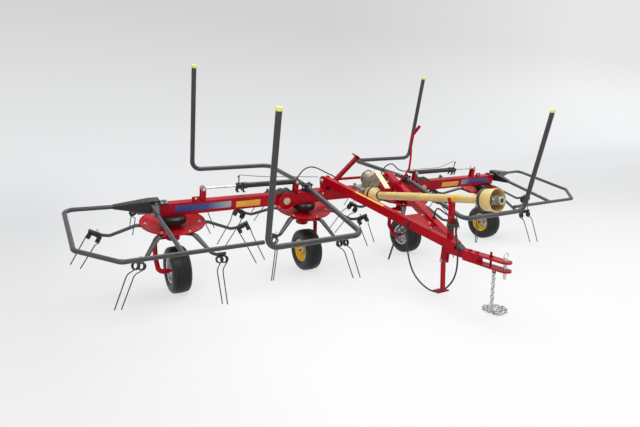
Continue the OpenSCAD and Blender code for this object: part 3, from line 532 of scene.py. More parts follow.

# %% [markdown]
# A real hose has one length, and it hangs in the curve that its ends and its stiffness give it. Here each one is a
# tube swept along its route, riding on the base.
# The routes are those of the CAD model, in millimetres, so that each hose takes the place of the solid that
# stands for it there. The first two are on the ground frame and the others on the deck.

# %% Hoses
# Each hose: its radius, whether its route is on the leaning deck, and the route
HOSES = {
    "hose_loop": (0.007, False, [
        (-166, -469, 560), (-166, -469, 512), (-163, -471, 440), (-158, -481, 350), (-152, -502, 262),
        (-144, -538, 180), (-134, -588, 121), (-121, -648, 79), (-108, -706, 55), (-96, -762, 49),
        (-84, -816, 68), (-73, -868, 107), (-64, -908, 156), (-58, -936, 212), (-54, -952, 271),
        (-53, -958, 331), (-53, -958, 386), (-53, -958, 436), (-50.6, -954.4, 461.3), (-43.6, -944.2, 483.8),
        (-32.9, -928.6, 500.9), (-19.6, -909, 511), (-6.1, -889.4, 521.1), (4.5, -873.7, 538.2),
        (11.5, -863.5, 560.7), (14, -860, 586), (14, -860, 606),
    ]),
    "hose_arc": (0.007, False, [
        (115.6, -504.3, 626.5), (114.1, -509.6, 645.7), (109, -522, 672), (99, -545, 695), (84, -574, 709),
        (67, -607, 715), (34, -664, 717), (0, -722, 717), (-22, -757, 717), (-38, -783, 717), (-47, -804, 716),
        (-50, -825.4, 711.7), (-51.5, -843.6, 699.6), (-52, -855.7, 681.4), (-52, -860, 660), (-52, -860, 638),
    ]),
    "hose_left": (0.006, True, [
        (-702, 50, 259), (-688, 50, 280), (-668, 50, 306), (-638, 50, 331), (-600, 50, 347), (-555, 50, 349),
        (-490, 53, 330), (-414, 56, 294), (-352, 60, 264), (-304, 62, 243), (-271, 61, 222), (-252, 60, 196),
        (-246, 58, 172), (-246, 58, 150),
    ]),
    "hose_right": (0.006, True, [
        (314, 58, 150), (314, 58, 180), (316, 58, 216), (324, 57, 254), (342, 53, 292), (370, 46, 322),
        (404, 40, 335), (438, 36, 328), (470, 34, 306), (506, 35, 280), (548, 40, 258), (596, 46, 243),
        (645, 50, 236), (690, 50, 232),
    ]),
}
CURVE_STEPS = 6
HOSE_SIDES = 16

for name, (radius, leans, route) in HOSES.items():
    path = [Vector(p) / 1000 for p in curve_through(route, CURVE_STEPS)]
    if leans:
        path = [DECK @ p for p in path]
    mesh = bmesh.new()
    sweep_tube(mesh, path, radius, HOSE_SIDES)
    hose = add_piece(name + "_rubber", mesh, HOSE, "base")
    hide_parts(name)
    length = sum((b - a).length for a, b in zip(path, path[1:]))
    print(name, round(length, 3), "m")

# %% [markdown]
# ## Turned pieces
#
# Tyres, rims and collars are round. Blender's Screw modifier could turn them from a curve. One outline spun about
# an axle does the same in a few lines, and the outline stays readable as a list of (radius, along the axle)
# pairs. It spins about the X axis through a given place, because every wheel axle of this machine runs along X.


# %% Turning an outline
def spin_outline(mesh, outline, centre, segments, closed=True):
    """Adds an outline of (radius, along) pairs, in metres, spun about the X axis through centre."""
    rings = []
    for a in (math.tau * k / segments for k in range(segments)):
        rings.append([
            mesh.verts.new(Vector(centre) + Vector((along, radius * math.cos(a), radius * math.sin(a))))
            for radius, along in outline
        ])
    count = len(outline)
    for k in range(segments):
        low, high = rings[k], rings[(k + 1) % segments]
        for i in range(count if closed else count - 1):
            mesh.faces.new((low[i], low[(i + 1) % count], high[(i + 1) % count], high[i]))


def rounded(points, radius=0.004, steps=3):
    """The same outline with its corners rounded."""
    found = []
    count = len(points)
    for i, point in enumerate(points):
        here = Vector(point)
        before, after = Vector(points[i - 1]) - here, Vector(points[(i + 1) % count]) - here
        cut = min(radius, before.length * 0.45, after.length * 0.45)
        if cut < 1e-5:
            found.append(tuple(here))
            continue
        a, b = here + before.normalized() * cut, here + after.normalized() * cut
        for k in range(steps + 1):
            t = k / steps
            found.append(tuple((1 - t) ** 2 * a + 2 * t * (1 - t) * here + t ** 2 * b))
    return found


print("turning ready")

# %% [markdown]
# A tedder's tyre is a ribbed one: it only rolls, and never drives, so its tread is plain rings with grooves
# between them. A bump in the shader could fake them, but their edges show against the pale floor, so the
# grooves, the crowned tread and the rounded shoulders all lie in one outline.

# %% Tyres
WHEELS = {i + 1: Vector(JOINTS[f"wheel_{i + 1}_spin"]["pos_m"]) for i in range(4)}
TYRE_R = 0.203
TYRE_HALF = 0.0825
SEAT_R = 0.1013
GROOVES = (-0.0465, -0.028, -0.0093, 0.0093, 0.028, 0.0465)
GROOVE_HALF = 0.0026
GROOVE_DEEP = 0.0065
TYRE_SEGMENTS = 96


def crown(along):
    """Radius of the tread at a distance from the middle plane."""
    return TYRE_R - 1.35 * along ** 2


def tyre_outline():
    """The closed outline of a tyre, from one bead over the tread to the other."""
    wall = [
        (SEAT_R, -0.060), (SEAT_R + 0.004, -0.063), (0.112, -0.0640), (0.117, -0.0700), (0.119, -0.0755),
        (0.124, -0.0765), (0.127, -0.0790), (0.140, -0.0817), (0.152, -TYRE_HALF), (0.1535, -TYRE_HALF + 0.0009),
        (0.156, -TYRE_HALF + 0.0009), (0.1575, -TYRE_HALF + 0.0002), (0.168, -0.0806), (0.179, -0.0765),
        (0.188, -0.0705), (0.1945, -0.0640), (0.1975, -0.0590),
    ]
    tread = [(crown(-0.055), -0.055)]
    for middle in GROOVES:
        edge, low = crown(middle), crown(middle) - GROOVE_DEEP
        tread += [
            (edge, middle - GROOVE_HALF - 0.0008), (edge - 0.0006, middle - GROOVE_HALF),
            (low, middle - GROOVE_HALF * 0.6), (low, middle + GROOVE_HALF * 0.6),
            (edge - 0.0006, middle + GROOVE_HALF), (edge, middle + GROOVE_HALF + 0.0008),
        ]
    tread.append((crown(0.055), 0.055))
    return wall + tread + [(radius, -along) for radius, along in reversed(wall)]


for number, centre in WHEELS.items():
    mesh = bmesh.new()
    spin_outline(mesh, tyre_outline(), centre, TYRE_SEGMENTS)
    tyre = add_piece(f"ribbed_tyre_{number}", mesh, TYRE, f"wheel_{number}")
    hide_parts(f"tyre_{number}")
print("tyres with", len(GROOVES), "grooves")

# %% [markdown]
# The rims are pressed steel in two halves, bolted together. The half on the leg's side is zinc plated and the
# outer half is yellow, so the near side of wheels 1 and 3 shows grey and that of wheels 2 and 4 yellow. A whole
# rim could be turned in one go and its faces picked for the second finish. Turning one half twice, once for each
# side of the middle plane, keeps them alike and tells them apart.

# %% Rims
LEG_WAY = (-1, 1, -1, 1)
RIM_SEGMENTS, HUB_SEGMENTS = 64, 32
AXLE_R = 0.013
RIM_HALF_OUTLINE = [
    (0.0365, 0.0035), (0.0640, 0.0035), (0.0700, 0.0060), (0.0780, 0.0160), (0.0860, 0.0205), (0.0925, 0.0245),
    (0.0955, 0.0330), (0.0965, 0.0560), (0.0975, 0.0610), (0.1040, 0.0645), (0.1095, 0.0640), (0.1110, 0.0665),
    (0.1095, 0.0690), (0.1030, 0.0685), (0.0945, 0.0650), (0.0930, 0.0560), (0.0920, 0.0350), (0.0895, 0.0280),
    (0.0840, 0.0240), (0.0755, 0.0195), (0.0670, 0.0095), (0.0630, 0.0070), (0.0365, 0.0070),
]
HUB_OUTLINE = [
    (AXLE_R, -0.0440), (0.0270, -0.0440), (0.0290, -0.0420), (0.0290, -0.0100), (0.0360, -0.0080),
    (0.0600, -0.0080), (0.0620, -0.0060), (0.0620, -0.0036), (0.0365, -0.0036), (0.0365, 0.0071),
    (0.0610, 0.0071), (0.0610, 0.0090), (0.0300, 0.0110), (0.0290, 0.0400), (0.0270, 0.0420), (AXLE_R, 0.0420),
]
CAP_OUTLINE = [
    (0.0, 0.062), (0.0100, 0.0615), (0.0170, 0.0590), (0.0210, 0.0540), (0.0220, 0.0480), (0.0220, 0.0410),
    (0.0240, 0.0400), (0.0240, 0.0380), (0.0, 0.0380),
]
# The valve: (along the axle, up from it) of its foot and tip, its radius at both, and its turn from straight up
STEM_LINE, STEM_R, STEM_TURN = ((0.024, 0.086), (0.046, 0.078)), [0.0042, 0.0034], 0.6


def rim_side(way):
    """The half outline on one side of the middle plane, as (radius, along) pairs."""
    return [(radius, way * along) for radius, along in RIM_HALF_OUTLINE]


for number, centre in WHEELS.items():
    leg = LEG_WAY[number - 1]
    mesh = bmesh.new()
    spin_outline(mesh, rim_side(leg), centre, RIM_SEGMENTS)
    zinc_faces = len(mesh.faces)
    spin_outline(mesh, rim_side(-leg), centre, RIM_SEGMENTS)
    mesh.faces.ensure_lookup_table()
    for face in mesh.faces[zinc_faces:]:
        face.material_index = 1
    # The hub is zinc plated too, and its grease cap is on the side away from the leg
    spin_outline(mesh, [(radius, -leg * along) for radius, along in HUB_OUTLINE], centre, HUB_SEGMENTS)
    spin_outline(mesh, [(radius, -leg * along) for radius, along in CAP_OUTLINE], centre, HUB_SEGMENTS, closed=False)
    # Valve that stands out of the yellow half
    stem = [centre + Vector((-leg * along, up * math.cos(STEM_TURN), up * math.sin(STEM_TURN)))
            for along, up in STEM_LINE]
    sweep_tube(mesh, stem, STEM_R, 8)
    rim = add_piece(f"pressed_rim_{number}", mesh, [WHEEL_GREY, YELLOW], f"wheel_{number}")
    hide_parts(f"rim_{number}")
print("rims in two halves")

# %% [markdown]
# ## Geometry Nodes for what repeats
#
# Blender can keep a shape as a recipe: a tree that takes a simple seed and its sizes, and grows the piece.
# Recipe wraps such a tree, and its grow method runs it on a seed mesh and keeps the result as a plain mesh.
# The modifier could stay live, but a plain mesh can be moved with its body and exported as it is.


# %% Recipes
class Recipe(NodeTree):
    """A procedural shape with named inputs, one of them its material."""

    def __init__(self, name, **inputs):
        super().__init__(bpy.data.node_groups.new(name, "GeometryNodeTree"))
        panel = self.tree.interface
        panel.new_socket("Geometry", in_out="INPUT", socket_type="NodeSocketGeometry")
        self.keys = {}
        for label, kind in {**inputs, "Material": "Material"}.items():
            self.keys[label] = panel.new_socket(label, in_out="INPUT", socket_type="NodeSocket" + kind).identifier
        panel.new_socket("Geometry", in_out="OUTPUT", socket_type="NodeSocketGeometry")
        self.given = self.node("NodeGroupInput").outputs
        self.end = self.node("NodeGroupOutput")

    def close(self, geometry):
        """Ends the tree: instances become real, and they get the material."""
        real = self.node("GeometryNodeRealizeInstances", inputs={"Geometry": geometry}).outputs[0]
        inputs = {"Geometry": real, "Material": self.given["Material"]}
        self.feed(self.end.inputs["Geometry"], self.node("GeometryNodeSetMaterial", inputs=inputs).outputs[0])

    def grow(self, name, seed, **values):
        """Runs the recipe on a seed mesh; the result is an object with a plain mesh."""
        holder = in_scene(name + "_seed", seed)
        modifier = holder.modifiers.new(name, "NODES")
        modifier.node_group = self.tree
        for label, value in values.items():
            modifier[self.keys[label]] = value
        graph = bpy.context.evaluated_depsgraph_get()
        data = bpy.data.meshes.new_from_object(holder.evaluated_get(graph), depsgraph=graph)
        bpy.data.objects.remove(holder)
        data.name = name
        return smooth_piece(name, data)


print("recipes can be written")

# %% [markdown]
# The first recipe sweeps a wire along each line of its seed and sets copies of it round an axis. It makes the
# tines, which could also be copied in a Python loop, and the links of the chain's heap.


# %% A wire along a line
def wire_recipe():
    """A round wire along each line of the seed, and copies of it round the Z axis."""
    recipe = Recipe("wires_round_an_axis", Radius="Float", Sides="Int", Copies="Int", Turn="Float")
    given = recipe.given
    line = recipe.node("GeometryNodeMeshToCurve", inputs={"Mesh": given["Geometry"]})
    circle = {"Resolution": given["Sides"], "Radius": given["Radius"]}
    section = recipe.node("GeometryNodeCurvePrimitiveCircle", inputs=circle)
    wire = recipe.node("GeometryNodeCurveToMesh", inputs={
        "Curve": line.outputs[0], "Profile Curve": section.outputs[0], "Fill Caps": True,
    })
    places = recipe.node("GeometryNodePoints", inputs={"Count": given["Copies"]})
    index = Value(recipe, recipe.node("GeometryNodeInputIndex").outputs[0])
    angle = index * (math.tau / Value(recipe, given["Copies"])) + Value(recipe, given["Turn"])
    turn = recipe.node("ShaderNodeCombineXYZ", inputs={"Z": angle})
    copies = recipe.node("GeometryNodeInstanceOnPoints", inputs={
        "Points": places.outputs[0], "Instance": wire.outputs[0], "Rotation": turn.outputs[0],
    })
    recipe.close(copies.outputs[0])
    return recipe


def line_mesh(name, lines, closed=False):
    """A mesh of lines, open or closed, for a recipe to sweep along."""
    data = bpy.data.meshes.new(name)
    points, edges = [], []
    for line in lines:
        edges += [(len(points) + i, len(points) + i + 1) for i in range(len(line) - 1)]
        if closed:
            edges.append((len(points) + len(line) - 1, len(points)))
        points += [tuple(p) for p in line]
    data.from_pydata(points, edges, [])
    return data


WIRES = wire_recipe()
print("recipe", WIRES.tree.name, "has", len(WIRES.tree.nodes), "nodes")

# %% [markdown]
# Bolts repeat by the dozen. Copies of one finished bolt could be placed by hand. The second recipe sets a bolt on
# each point of a mesh instead, turned to where the point faces and as large as the point says, so that a
# whole ring or row of them is one short list. Its bolt has a head of radius 1, a chamfered top and a washer.


# %% A bolt on a point
def bolt_recipe():
    """A hexagon bolt with a washer on each point of the seed."""
    recipe = Recipe("bolts_on_points")
    head = recipe.node("GeometryNodeMeshCylinder", inputs={"Vertices": 6, "Radius": 1.0, "Depth": 1.0})
    raised = recipe.node("GeometryNodeTransform", inputs={"Geometry": head.outputs[0], "Translation": (0, 0, 0.5)})
    crown_top = recipe.node("GeometryNodeMeshCone", inputs={
        "Vertices": 12, "Radius Top": 0.72, "Radius Bottom": 0.86, "Depth": 0.14,
    })
    topped = recipe.node("GeometryNodeTransform", inputs={
        "Geometry": crown_top.outputs[0], "Translation": (0, 0, 0.98),
    })
    washer = recipe.node("GeometryNodeMeshCylinder", inputs={"Vertices": 14, "Radius": 1.35, "Depth": 0.24})
    laid = recipe.node("GeometryNodeTransform", inputs={"Geometry": washer.outputs[0], "Translation": (0, 0, 0.1)})
    bolt = recipe.node("GeometryNodeJoinGeometry")
    for part in (raised, topped, laid):
        recipe.tree.links.new(part.outputs[0], bolt.inputs[0])
    out = recipe.node("GeometryNodeInputNamedAttribute", {"data_type": "FLOAT_VECTOR"}, {"Name": "out"})
    size = recipe.node("GeometryNodeInputNamedAttribute", {"data_type": "FLOAT"}, {"Name": "size"})
    turn = recipe.node("FunctionNodeAlignRotationToVector", {"axis": "Z"}, {"Vector": out.outputs[0]})
    copies = recipe.node("GeometryNodeInstanceOnPoints", inputs={
        "Points": recipe.given["Geometry"], "Instance": bolt.outputs[0], "Rotation": turn.outputs[0],
        "Scale": size.outputs[0],
    })
    recipe.close(copies.outputs[0])
    return recipe


def bolt_seed(places):
    """A mesh of points for bolts: each place is a point, the way out of the surface and the head's radius."""
    data = bpy.data.meshes.new("bolt_places")
    data.from_pydata([tuple(point) for point, _, _ in places], [], [])
    out = data.attributes.new("out", "FLOAT_VECTOR", "POINT")
    out.data.foreach_set("vector", [c for _, way, _ in places for c in way])
    size = data.attributes.new("size", "FLOAT", "POINT")
    size.data.foreach_set("value", [radius for _, _, radius in places])
    return data


def set_bolts(name, places, body, material=ZINC):
    """Bolts at the given places as one piece that rides on a body."""
    piece = BOLTS.grow(name, bolt_seed(places), Material=material)
    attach(piece, body)


BOLTS = bolt_recipe()
print("recipe", BOLTS.tree.name, "has", len(BOLTS.tree.nodes), "nodes")

# %% [markdown]
# ## Tine arms
#
# Each arm is a flattened tube that follows the dish, bends down at its rim, and ends round, in a dip and a clamp.
# Below the clamp hangs one wire that makes both tines: it starts under the clamp, winds into an open coil on each
# side along the arm, so that the tine can spring back when it meets the ground, and leaves each coil sideways,
# against the way the rotor turns, down to its tip. A coil could come from the Screw modifier, but its ends have
# to run on into the tine, so the whole wire is worked out as one line, with the rotor's axle along Z.

# %% The lines of one arm
ARM_COUNT = 6
FIRST_ARM = (-8, -22, -8, -22)
ARM_LINE = [
    (0.100, 0, -0.105), (0.155, 0, -0.1045), (0.262, 0, -0.0695), (0.300, 0, -0.0690), (0.500, 0, -0.147),
    (0.556, 0, -0.139), (0.654, 0, -0.088),
]
ARM_FLAT, ARM_ROUND = (0.0255, 0.0120), (0.0135, 0.0135)
ARM_FLAT_TO, ARM_BEND = (0.440, 0.510), 0.05
WIRE_R = 0.0045
COILS = Vector((0.620, 0, -0.155))
COIL_R = 0.0270
COIL_LONG = 0.033
COIL_APART = 0.076
COIL_HALF_TURNS, STEPS_A_HALF_TURN = 7, 7
ALONG_COILS = (0.066, 0.013, 0.035)
# The tine leaves its coil along a short straight, then bends at the knee towards its tip
TO_KNEE, TIP, TIPS_APART = (0.021, 0.063, -0.047), (0.776, 0.090, -0.459), 0.083
KNEE_SPREAD, KNEE_R = 0.008, 0.07


def bent(points, radius, steps=5):
    """A line of straights with each corner rounded to the given radius."""
    points = [Vector(p) for p in points]
    found = [points[0]]
    for before, here, after in zip(points, points[1:], points[2:]):
        a, b = (before - here).normalized(), (after - here).normalized()
        half = a.angle(b) / 2
        cut = min(radius / math.tan(half), 0.45 * (before - here).length, 0.45 * (after - here).length)
        for k in range(steps + 1):
            t = k / steps
            found.append((1 - t) ** 2 * (here + a * cut) + 2 * t * (1 - t) * here + t ** 2 * (here + b * cut))
    return found + [points[-1]]


def against(place, way):
    """A place or a way beside the arm, on the side that the rotor turns away from."""
    return Vector((place[0], -place[1] * way, place[2]))


def coil_axes(way):
    """Unit vectors: along the coils, out of them where the wire leaves, and along the wire there."""
    along = against(ALONG_COILS, way).normalized()
    leave = against(TO_KNEE, way)
    leave = (leave - leave.dot(along) * along).normalized()
    return along, way * along.cross(leave), leave


def tine_line(side, way):
    """Half of an arm's wire: bridge, coil and tine. Way is the way the rotor turns."""
    along, out, leave = coil_axes(way)
    steps = STEPS_A_HALF_TURN * COIL_HALF_TURNS
    points = [COILS - COIL_R * out]
    for k in range(steps + 1):
        angle = -math.pi * COIL_HALF_TURNS * (1 - k / steps)
        shift = side * (COIL_APART / 2 + COIL_LONG * (k / steps - 0.5))
        points.append(COILS + shift * along + COIL_R * (math.cos(angle) * out + math.sin(angle) * leave))
    knee = points[-1] + against(TO_KNEE, way) - side * KNEE_SPREAD * along
    tip = against(TIP, way) + side * TIPS_APART / 2 * along
    return points[:-1] + bent([points[-1], knee, tip], KNEE_R, 6)


def arm_tube():
    """The arm's middle line, with its radius across and its radius up and down at each point."""
    path = bent(ARM_LINE, ARM_BEND)
    start, end = ARM_FLAT_TO
    shares = [min(max((p.x - start) / (end - start), 0), 1) for p in path]
    wide, thick = ([f + (r - f) * share for share in shares] for f, r in zip(ARM_FLAT, ARM_ROUND))
    return path, wide, thick


print("one tine wire has", len(tine_line(1, 1)), "points")

# %% [markdown]
# The wires of a rotor come from the wire recipe, which sets them round its axle. The tubes are swept directly,
# because they change from flat to round on their way and the recipe's wire is round all along. Each arm's end
# gets a clamp: a plate with two lips that hold the coils, and one bolt through the arm.

# %% Arms, coils and tines
CLAMP_HALF, LIP_HALF = (0.030, 0.017, 0.005), (0.022, 0.0025, 0.011)
LIP_OUT, LIP_DOWN = 0.018, 0.006
ACROSS = Vector((0, 1, 0))

path, wide, thick = arm_tube()
for number in range(1, 5):
    way = ROTOR_WAY[number - 1]
    turn = math.radians(FIRST_ARM[number - 1])
    axle = rotor_place(number)
    along = coil_axes(way)[0]
    over = along.cross(ACROSS).normalized()
    tube_mesh = bmesh.new()
    wires = WIRES.grow(f"tine_wires_{number}", line_mesh("wires", [tine_line(side, way) for side in (-1, 1)]),
                       Radius=WIRE_R, Sides=8, Copies=ARM_COUNT, Turn=turn, Material=SPRING)
    mesh = bmesh.new()
    bolts = []
    for k in range(ARM_COUNT):
        place = axle @ Matrix.Rotation(turn + math.tau * k / ARM_COUNT, 4, "Z")
        sweep_tube(tube_mesh, [place @ p for p in path], wide, 16, place.to_3x3() @ ACROSS, thick)
        axes = [(place.to_3x3() @ axis).normalized() for axis in (along, over.cross(along), over)]
        seat = place @ (COILS + over * (COIL_R + WIRE_R + CLAMP_HALF[2]))
        add_box(mesh, seat, CLAMP_HALF, axes, bevel=0.002)
        for side in (-1, 1):
            add_box(mesh, seat + axes[1] * side * LIP_OUT - axes[2] * LIP_DOWN, LIP_HALF, axes)
        bolts.append((seat + axes[2] * (CLAMP_HALF[2] + 2 * ARM_ROUND[0] - 0.001), axes[2], 0.0085))
    clamps = add_piece(f"tine_clamps_{number}", mesh, BLACK, f"rotor_{number}")
    set_bolts(f"clamp_bolts_{number}", bolts, f"rotor_{number}")
    wires.data.transform(axle)
    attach(wires, f"rotor_{number}")
    # The tubes get the darker copy of the guards' grey, which is painted shade
    tubes = add_piece(f"arm_tubes_{number}", tube_mesh, SHADED_ARM_GREY, f"rotor_{number}")
    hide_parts(f"arms_{number}")
    print("rotor", number, [len(piece.data.polygons) for piece in (tubes, wires)], "faces")

# %% [markdown]
# ## Bolts
#
# Bolts hold the dishes to their hubs, the housings to the beams and the rims' halves together. Places for the
# bolt recipe come in rings and rows. They could be picked on the mesh by hand, but a ring says how many there
# are and how far out, and it can be checked against the real machine.


# %% Bolts of the rotors and wheels
DISH_BOLT_R, DISH_BOLT_Z, DISH_SLOPE = 0.225, -0.0609, (-0.306, 0.952)
HOUSING_BOLT_R, HOUSING_BOLT_Z, HOUSING_SLOPE = 0.102, 0.0140, (0.50, 0.866)
HOUSING_BOLTS, BEAM_HALF_CLEAR = 8, 0.045
NUT_RING_R = 0.0475


def ring(centre, axis, radius, count, size, first=0.0):
    """Bolts on a circle about an axis of the deck, all looking along the axis."""
    axis = Vector(axis).normalized()
    side = axis.orthogonal().normalized()
    other = axis.cross(side)
    turns = [first + math.tau * k / count for k in range(count)]
    spots = [Vector(centre) + radius * (math.cos(a) * side + math.sin(a) * other) for a in turns]
    return [(spot, axis, size) for spot in spots]


def on_deck(places):
    """The same bolts, on the ground frame."""
    return [(DECK @ Vector(point), DECK.to_3x3() @ Vector(way), size) for point, way, size in places]


def cone_ring(x, turns, radius, up, slope, size):
    """Bolts round a rotor's axle, each leaning outwards by the slope's first number and up by its second."""
    ways = [Vector((math.cos(a), math.sin(a), 0)) for a in turns]
    return [(Vector((x, 0, up)) + radius * way, slope[0] * way + Vector((0, 0, slope[1])), size) for way in ways]


for number, x in enumerate(ROTOR_X, 1):
    turns = [math.radians(FIRST_ARM[number - 1]) + math.tau * k / ARM_COUNT for k in range(ARM_COUNT)]
    dish_bolts = cone_ring(x, turns, DISH_BOLT_R, DISH_BOLT_Z, DISH_SLOPE, 0.0110)
    set_bolts(f"dish_bolts_{number}", on_deck(dish_bolts), f"rotor_{number}")
    # Bolts that would be under the beam are left out
    turns = [math.tau * (k + 0.5) / HOUSING_BOLTS for k in range(HOUSING_BOLTS)]
    turns = [a for a in turns if abs(HOUSING_BOLT_R * math.sin(a)) > BEAM_HALF_CLEAR]
    flange = cone_ring(x, turns, HOUSING_BOLT_R, HOUSING_BOLT_Z, HOUSING_SLOPE, 0.0075)
    set_bolts(f"housing_bolts_{number}", on_deck(flange), ROTOR_BODY[number - 1], BLACK)
    leg = LEG_WAY[number - 1]
    nuts = []
    for side, along in ((-leg, 0.0090), (leg, 0.0078)):
        seat = WHEELS[number] + Vector((side * along, 0, 0))
        nuts += ring(seat, (side, 0, 0), NUT_RING_R, 5, 0.0078, 0.3)
    set_bolts(f"wheel_nuts_{number}", nuts, f"wheel_{number}")
print("bolts of rotors and wheels set")

# %% [markdown]
# Most of the frame's bolts stand in pairs on both sides of a plate, because a bolt has a head at one end and a nut
# at the other. Each plate could carry its own bolts as children. One list for each body is enough, because they
# never move by themselves, and each line below is one pair, row or ring of it.

# %% Bolts of the frame and the wings
WING_END, LUG_X = 2.020, 1.722
EYE_X, ROD_EYE_X, EYE_Z = 0.746, 1.650, 0.232
BRACKET_HALF = 0.0235
BEAM_TOP, BEAM_FRONT = 0.130, -0.035

clamp_nuts = [
    ((side * 0.620 + dx, y, 0.196), (0, 0, 1), 0.0100)
    for side in (-1, 1) for dx in (-0.035, 0.035) for y in (-0.024, 0.024)
]
set_bolts("guard_clamp_nuts", on_deck(clamp_nuts), "base", BLACK)
base_bolts = []
for side in (-1, 1):
    base_bolts += [((side * EYE_X, front * BRACKET_HALF, EYE_Z), (0, front, 0), 0.0130) for front in (-1, 1)]
    base_bolts += ring((side * 0.102, -0.110, 0.090), (side, 0, 0), 0.042, 6, 0.0065)
    base_bolts += [((side * x, front * 0.047, z), (0, front, 0), 0.0080)
                   for x in (0.46, 0.72) for z in (0.045, 0.105) for front in (-1, 1)]
base_bolts += ring((0.040, -0.185, 0.245), (0, -1, 0), 0.052, 6, 0.0075)
base_bolts += ring((0.0, -0.197, 0.110), (0, -1, 0), 0.0495, 6, 0.0055, 0.5)
slant = Vector((0.7071, 0, 0.7071))
base_bolts += [(Vector((-0.075, y, 0.440)) + 0.004 * slant, slant, 0.0080) for y in (-0.038, 0.038)]
set_bolts("frame_bolts", on_deck(base_bolts), "base")
for side, word in SIDES:
    wing_bolts = [((side * (WING_END - dx), y, BEAM_TOP + 0.010), (0, 0, 1), 0.0085)
                  for dx in (0.020, 0.055) for y in (-0.028, 0.028)]
    wing_bolts += [((side * ROD_EYE_X, front * BRACKET_HALF, EYE_Z), (0, front, 0), 0.0130) for front in (-1, 1)]
    wing_bolts += [((side * (WING_END + 0.030), -0.044, z), (0, -1, 0), 0.0080) for z in (0.085, 0.145)]
    wing_bolts += [((side * LUG_X, -0.0405, 0.162), (0, -1, 0), 0.0080)]
    set_bolts(f"beam_bolts_wing_{word}", on_deck(wing_bolts), f"wing_{word}")
print("bolts of frame and wings set")

# %% [markdown]
# ## The drawbar
#
# The drawbar's two beams rise to the frame, each in its own direction. Places on them could be worked out one by
# one on the ground. A frame of their own is simpler, in which a stripe is a plain box: x runs along the beam
# from its rear lug, y across it, inward on the left beam, and z up from its middle line.


# %% Drawbar details
DRAW_REAR = Vector((0.396, 0.501, 0.872))
DRAW_FRONT = Vector((0.008, -0.890, 0.455))
DRAW_TOP = 0.0375
STRIPES_X, STRIPE_Y, STRIPE_THICK = ((0.400, 0.536), (0.546, 0.747)), (-0.029, 0.004), 0.0012
SHEET_BOLTS_AT, SHEET_BOLT_IN = (0.63, 0.73), 0.055


def on_draw(side):
    """Frame of one of the drawbar's beams."""
    run = DRAW_FRONT - DRAW_REAR
    lean = -math.asin(run.z / run.length)
    turn = math.atan2(run.y, side * run.x)
    start = Vector((side * DRAW_REAR.x, DRAW_REAR.y, DRAW_REAR.z))
    return Matrix.Translation(start) @ Matrix.Rotation(turn, 4, "Z") @ Matrix.Rotation(lean, 4, "Y")


def flat_plate(name, place, low, high, material, body, corner=0.002):
    """A thin plate between two corners of a frame, for stripes, reflectors and bare name plates."""
    low, high = Vector(low), Vector(high)
    mesh = bmesh.new()
    half = [abs(h - l) / 2 for l, h in zip(low, high)]
    add_box(mesh, place @ ((low + high) / 2), half, axes_of(place), bevel=min(corner, 0.4 * min(half)))
    piece = add_piece(name, mesh, material, body)


for number, (start, end) in enumerate(STRIPES_X):
    low, high = (start, STRIPE_Y[0], DRAW_TOP), (end, STRIPE_Y[1], DRAW_TOP + STRIPE_THICK)
    flat_plate(f"drawbar_stripe_{number}", on_draw(-1), low, high, STRIPE, "base")
draw_bolts = []
for side in (-1, 1):
    place = on_draw(side)
    turn = place.to_3x3()
    draw_bolts += [(place @ Vector((0, way * 0.0503, 0)), turn @ Vector((0, way, 0)), 0.0160) for way in (-1, 1)]
    sheet_up = Vector((0, DRAW_FRONT.z - DRAW_REAR.z, DRAW_REAR.y - DRAW_FRONT.y)).normalized()
    for t in SHEET_BOLTS_AT:
        spot = DRAW_REAR.lerp(DRAW_FRONT, t)
        seat = Vector((side * (spot.x - SHEET_BOLT_IN), spot.y, spot.z)) + 0.005 * sheet_up
        draw_bolts.append((seat, sheet_up, 0.0090))
    draw_bolts.append((Vector((0.052 + side * 0.033, -0.712, 0.289)), Vector((side, 0, 0)), 0.0120))
set_bolts("drawbar_bolts", draw_bolts, "base")
print("drawbar stripes and bolts set")

# %% [markdown]
# ## Reflectors and name plates
#
# Orange reflectors sit on the front of each wing beam, beside plates that fade from blue to silver and have
# nothing written on them. They could be colours in the beam's own paint. They are thin boxes, because the real
# ones have an edge that catches the light, and because a box stays sharp from near.


# %% Reflectors and plates
REFLECTOR_X = {"left": (1.121, 1.355), "right": (1.160, 1.417)}
NAME_PLATE_X = {"left": (1.401, 1.897), "right": (1.472, 1.922)}
REFLECTOR_Z, REFLECTOR_THICK = (0.042, 0.098), 0.0035
NAME_PLATE_Z, NAME_PLATE_THICK = (0.050, 0.108), 0.0012


def beam_plate(name, side, x, z, thick, material, body):
    """A plate on the front of a wing beam."""
    low, high = (side * x[0], BEAM_FRONT - thick, z[0]), (side * x[1], BEAM_FRONT, z[1])
    flat_plate(name, DECK, low, high, material, body)


for side, word in SIDES:
    body = f"wing_{word}"
    beam_plate(f"reflector_{word}", side, REFLECTOR_X[word], REFLECTOR_Z, REFLECTOR_THICK, ORANGE, body)
    beam_plate(f"name_plate_{word}", side, NAME_PLATE_X[word], NAME_PLATE_Z, NAME_PLATE_THICK, NAME_PLATE, body)
    mesh = bmesh.new()
    add_box(mesh, deck(side * LUG_X, -0.0360, 0.152), (0.034, 0.0045, 0.026), axes_of(DECK), bevel=0.003)
    lug = add_piece(f"beam_lug_{word}", mesh, RED, body)
print("reflectors and plates set")

# %% [markdown]
# ## Round trim
#
# Collars hold the shaft guard's cones on its tubes, and each dish has a rolled bead round its rim, which stiffens
# it. Both are too thin to matter in the CAD model, but they draw a bright line that the eye looks for. They could
# be torus objects, but the collars are square, so the outline helper from the wheels makes them all. An outline is
# turned about X at the origin first and then carried to its place by a matrix.


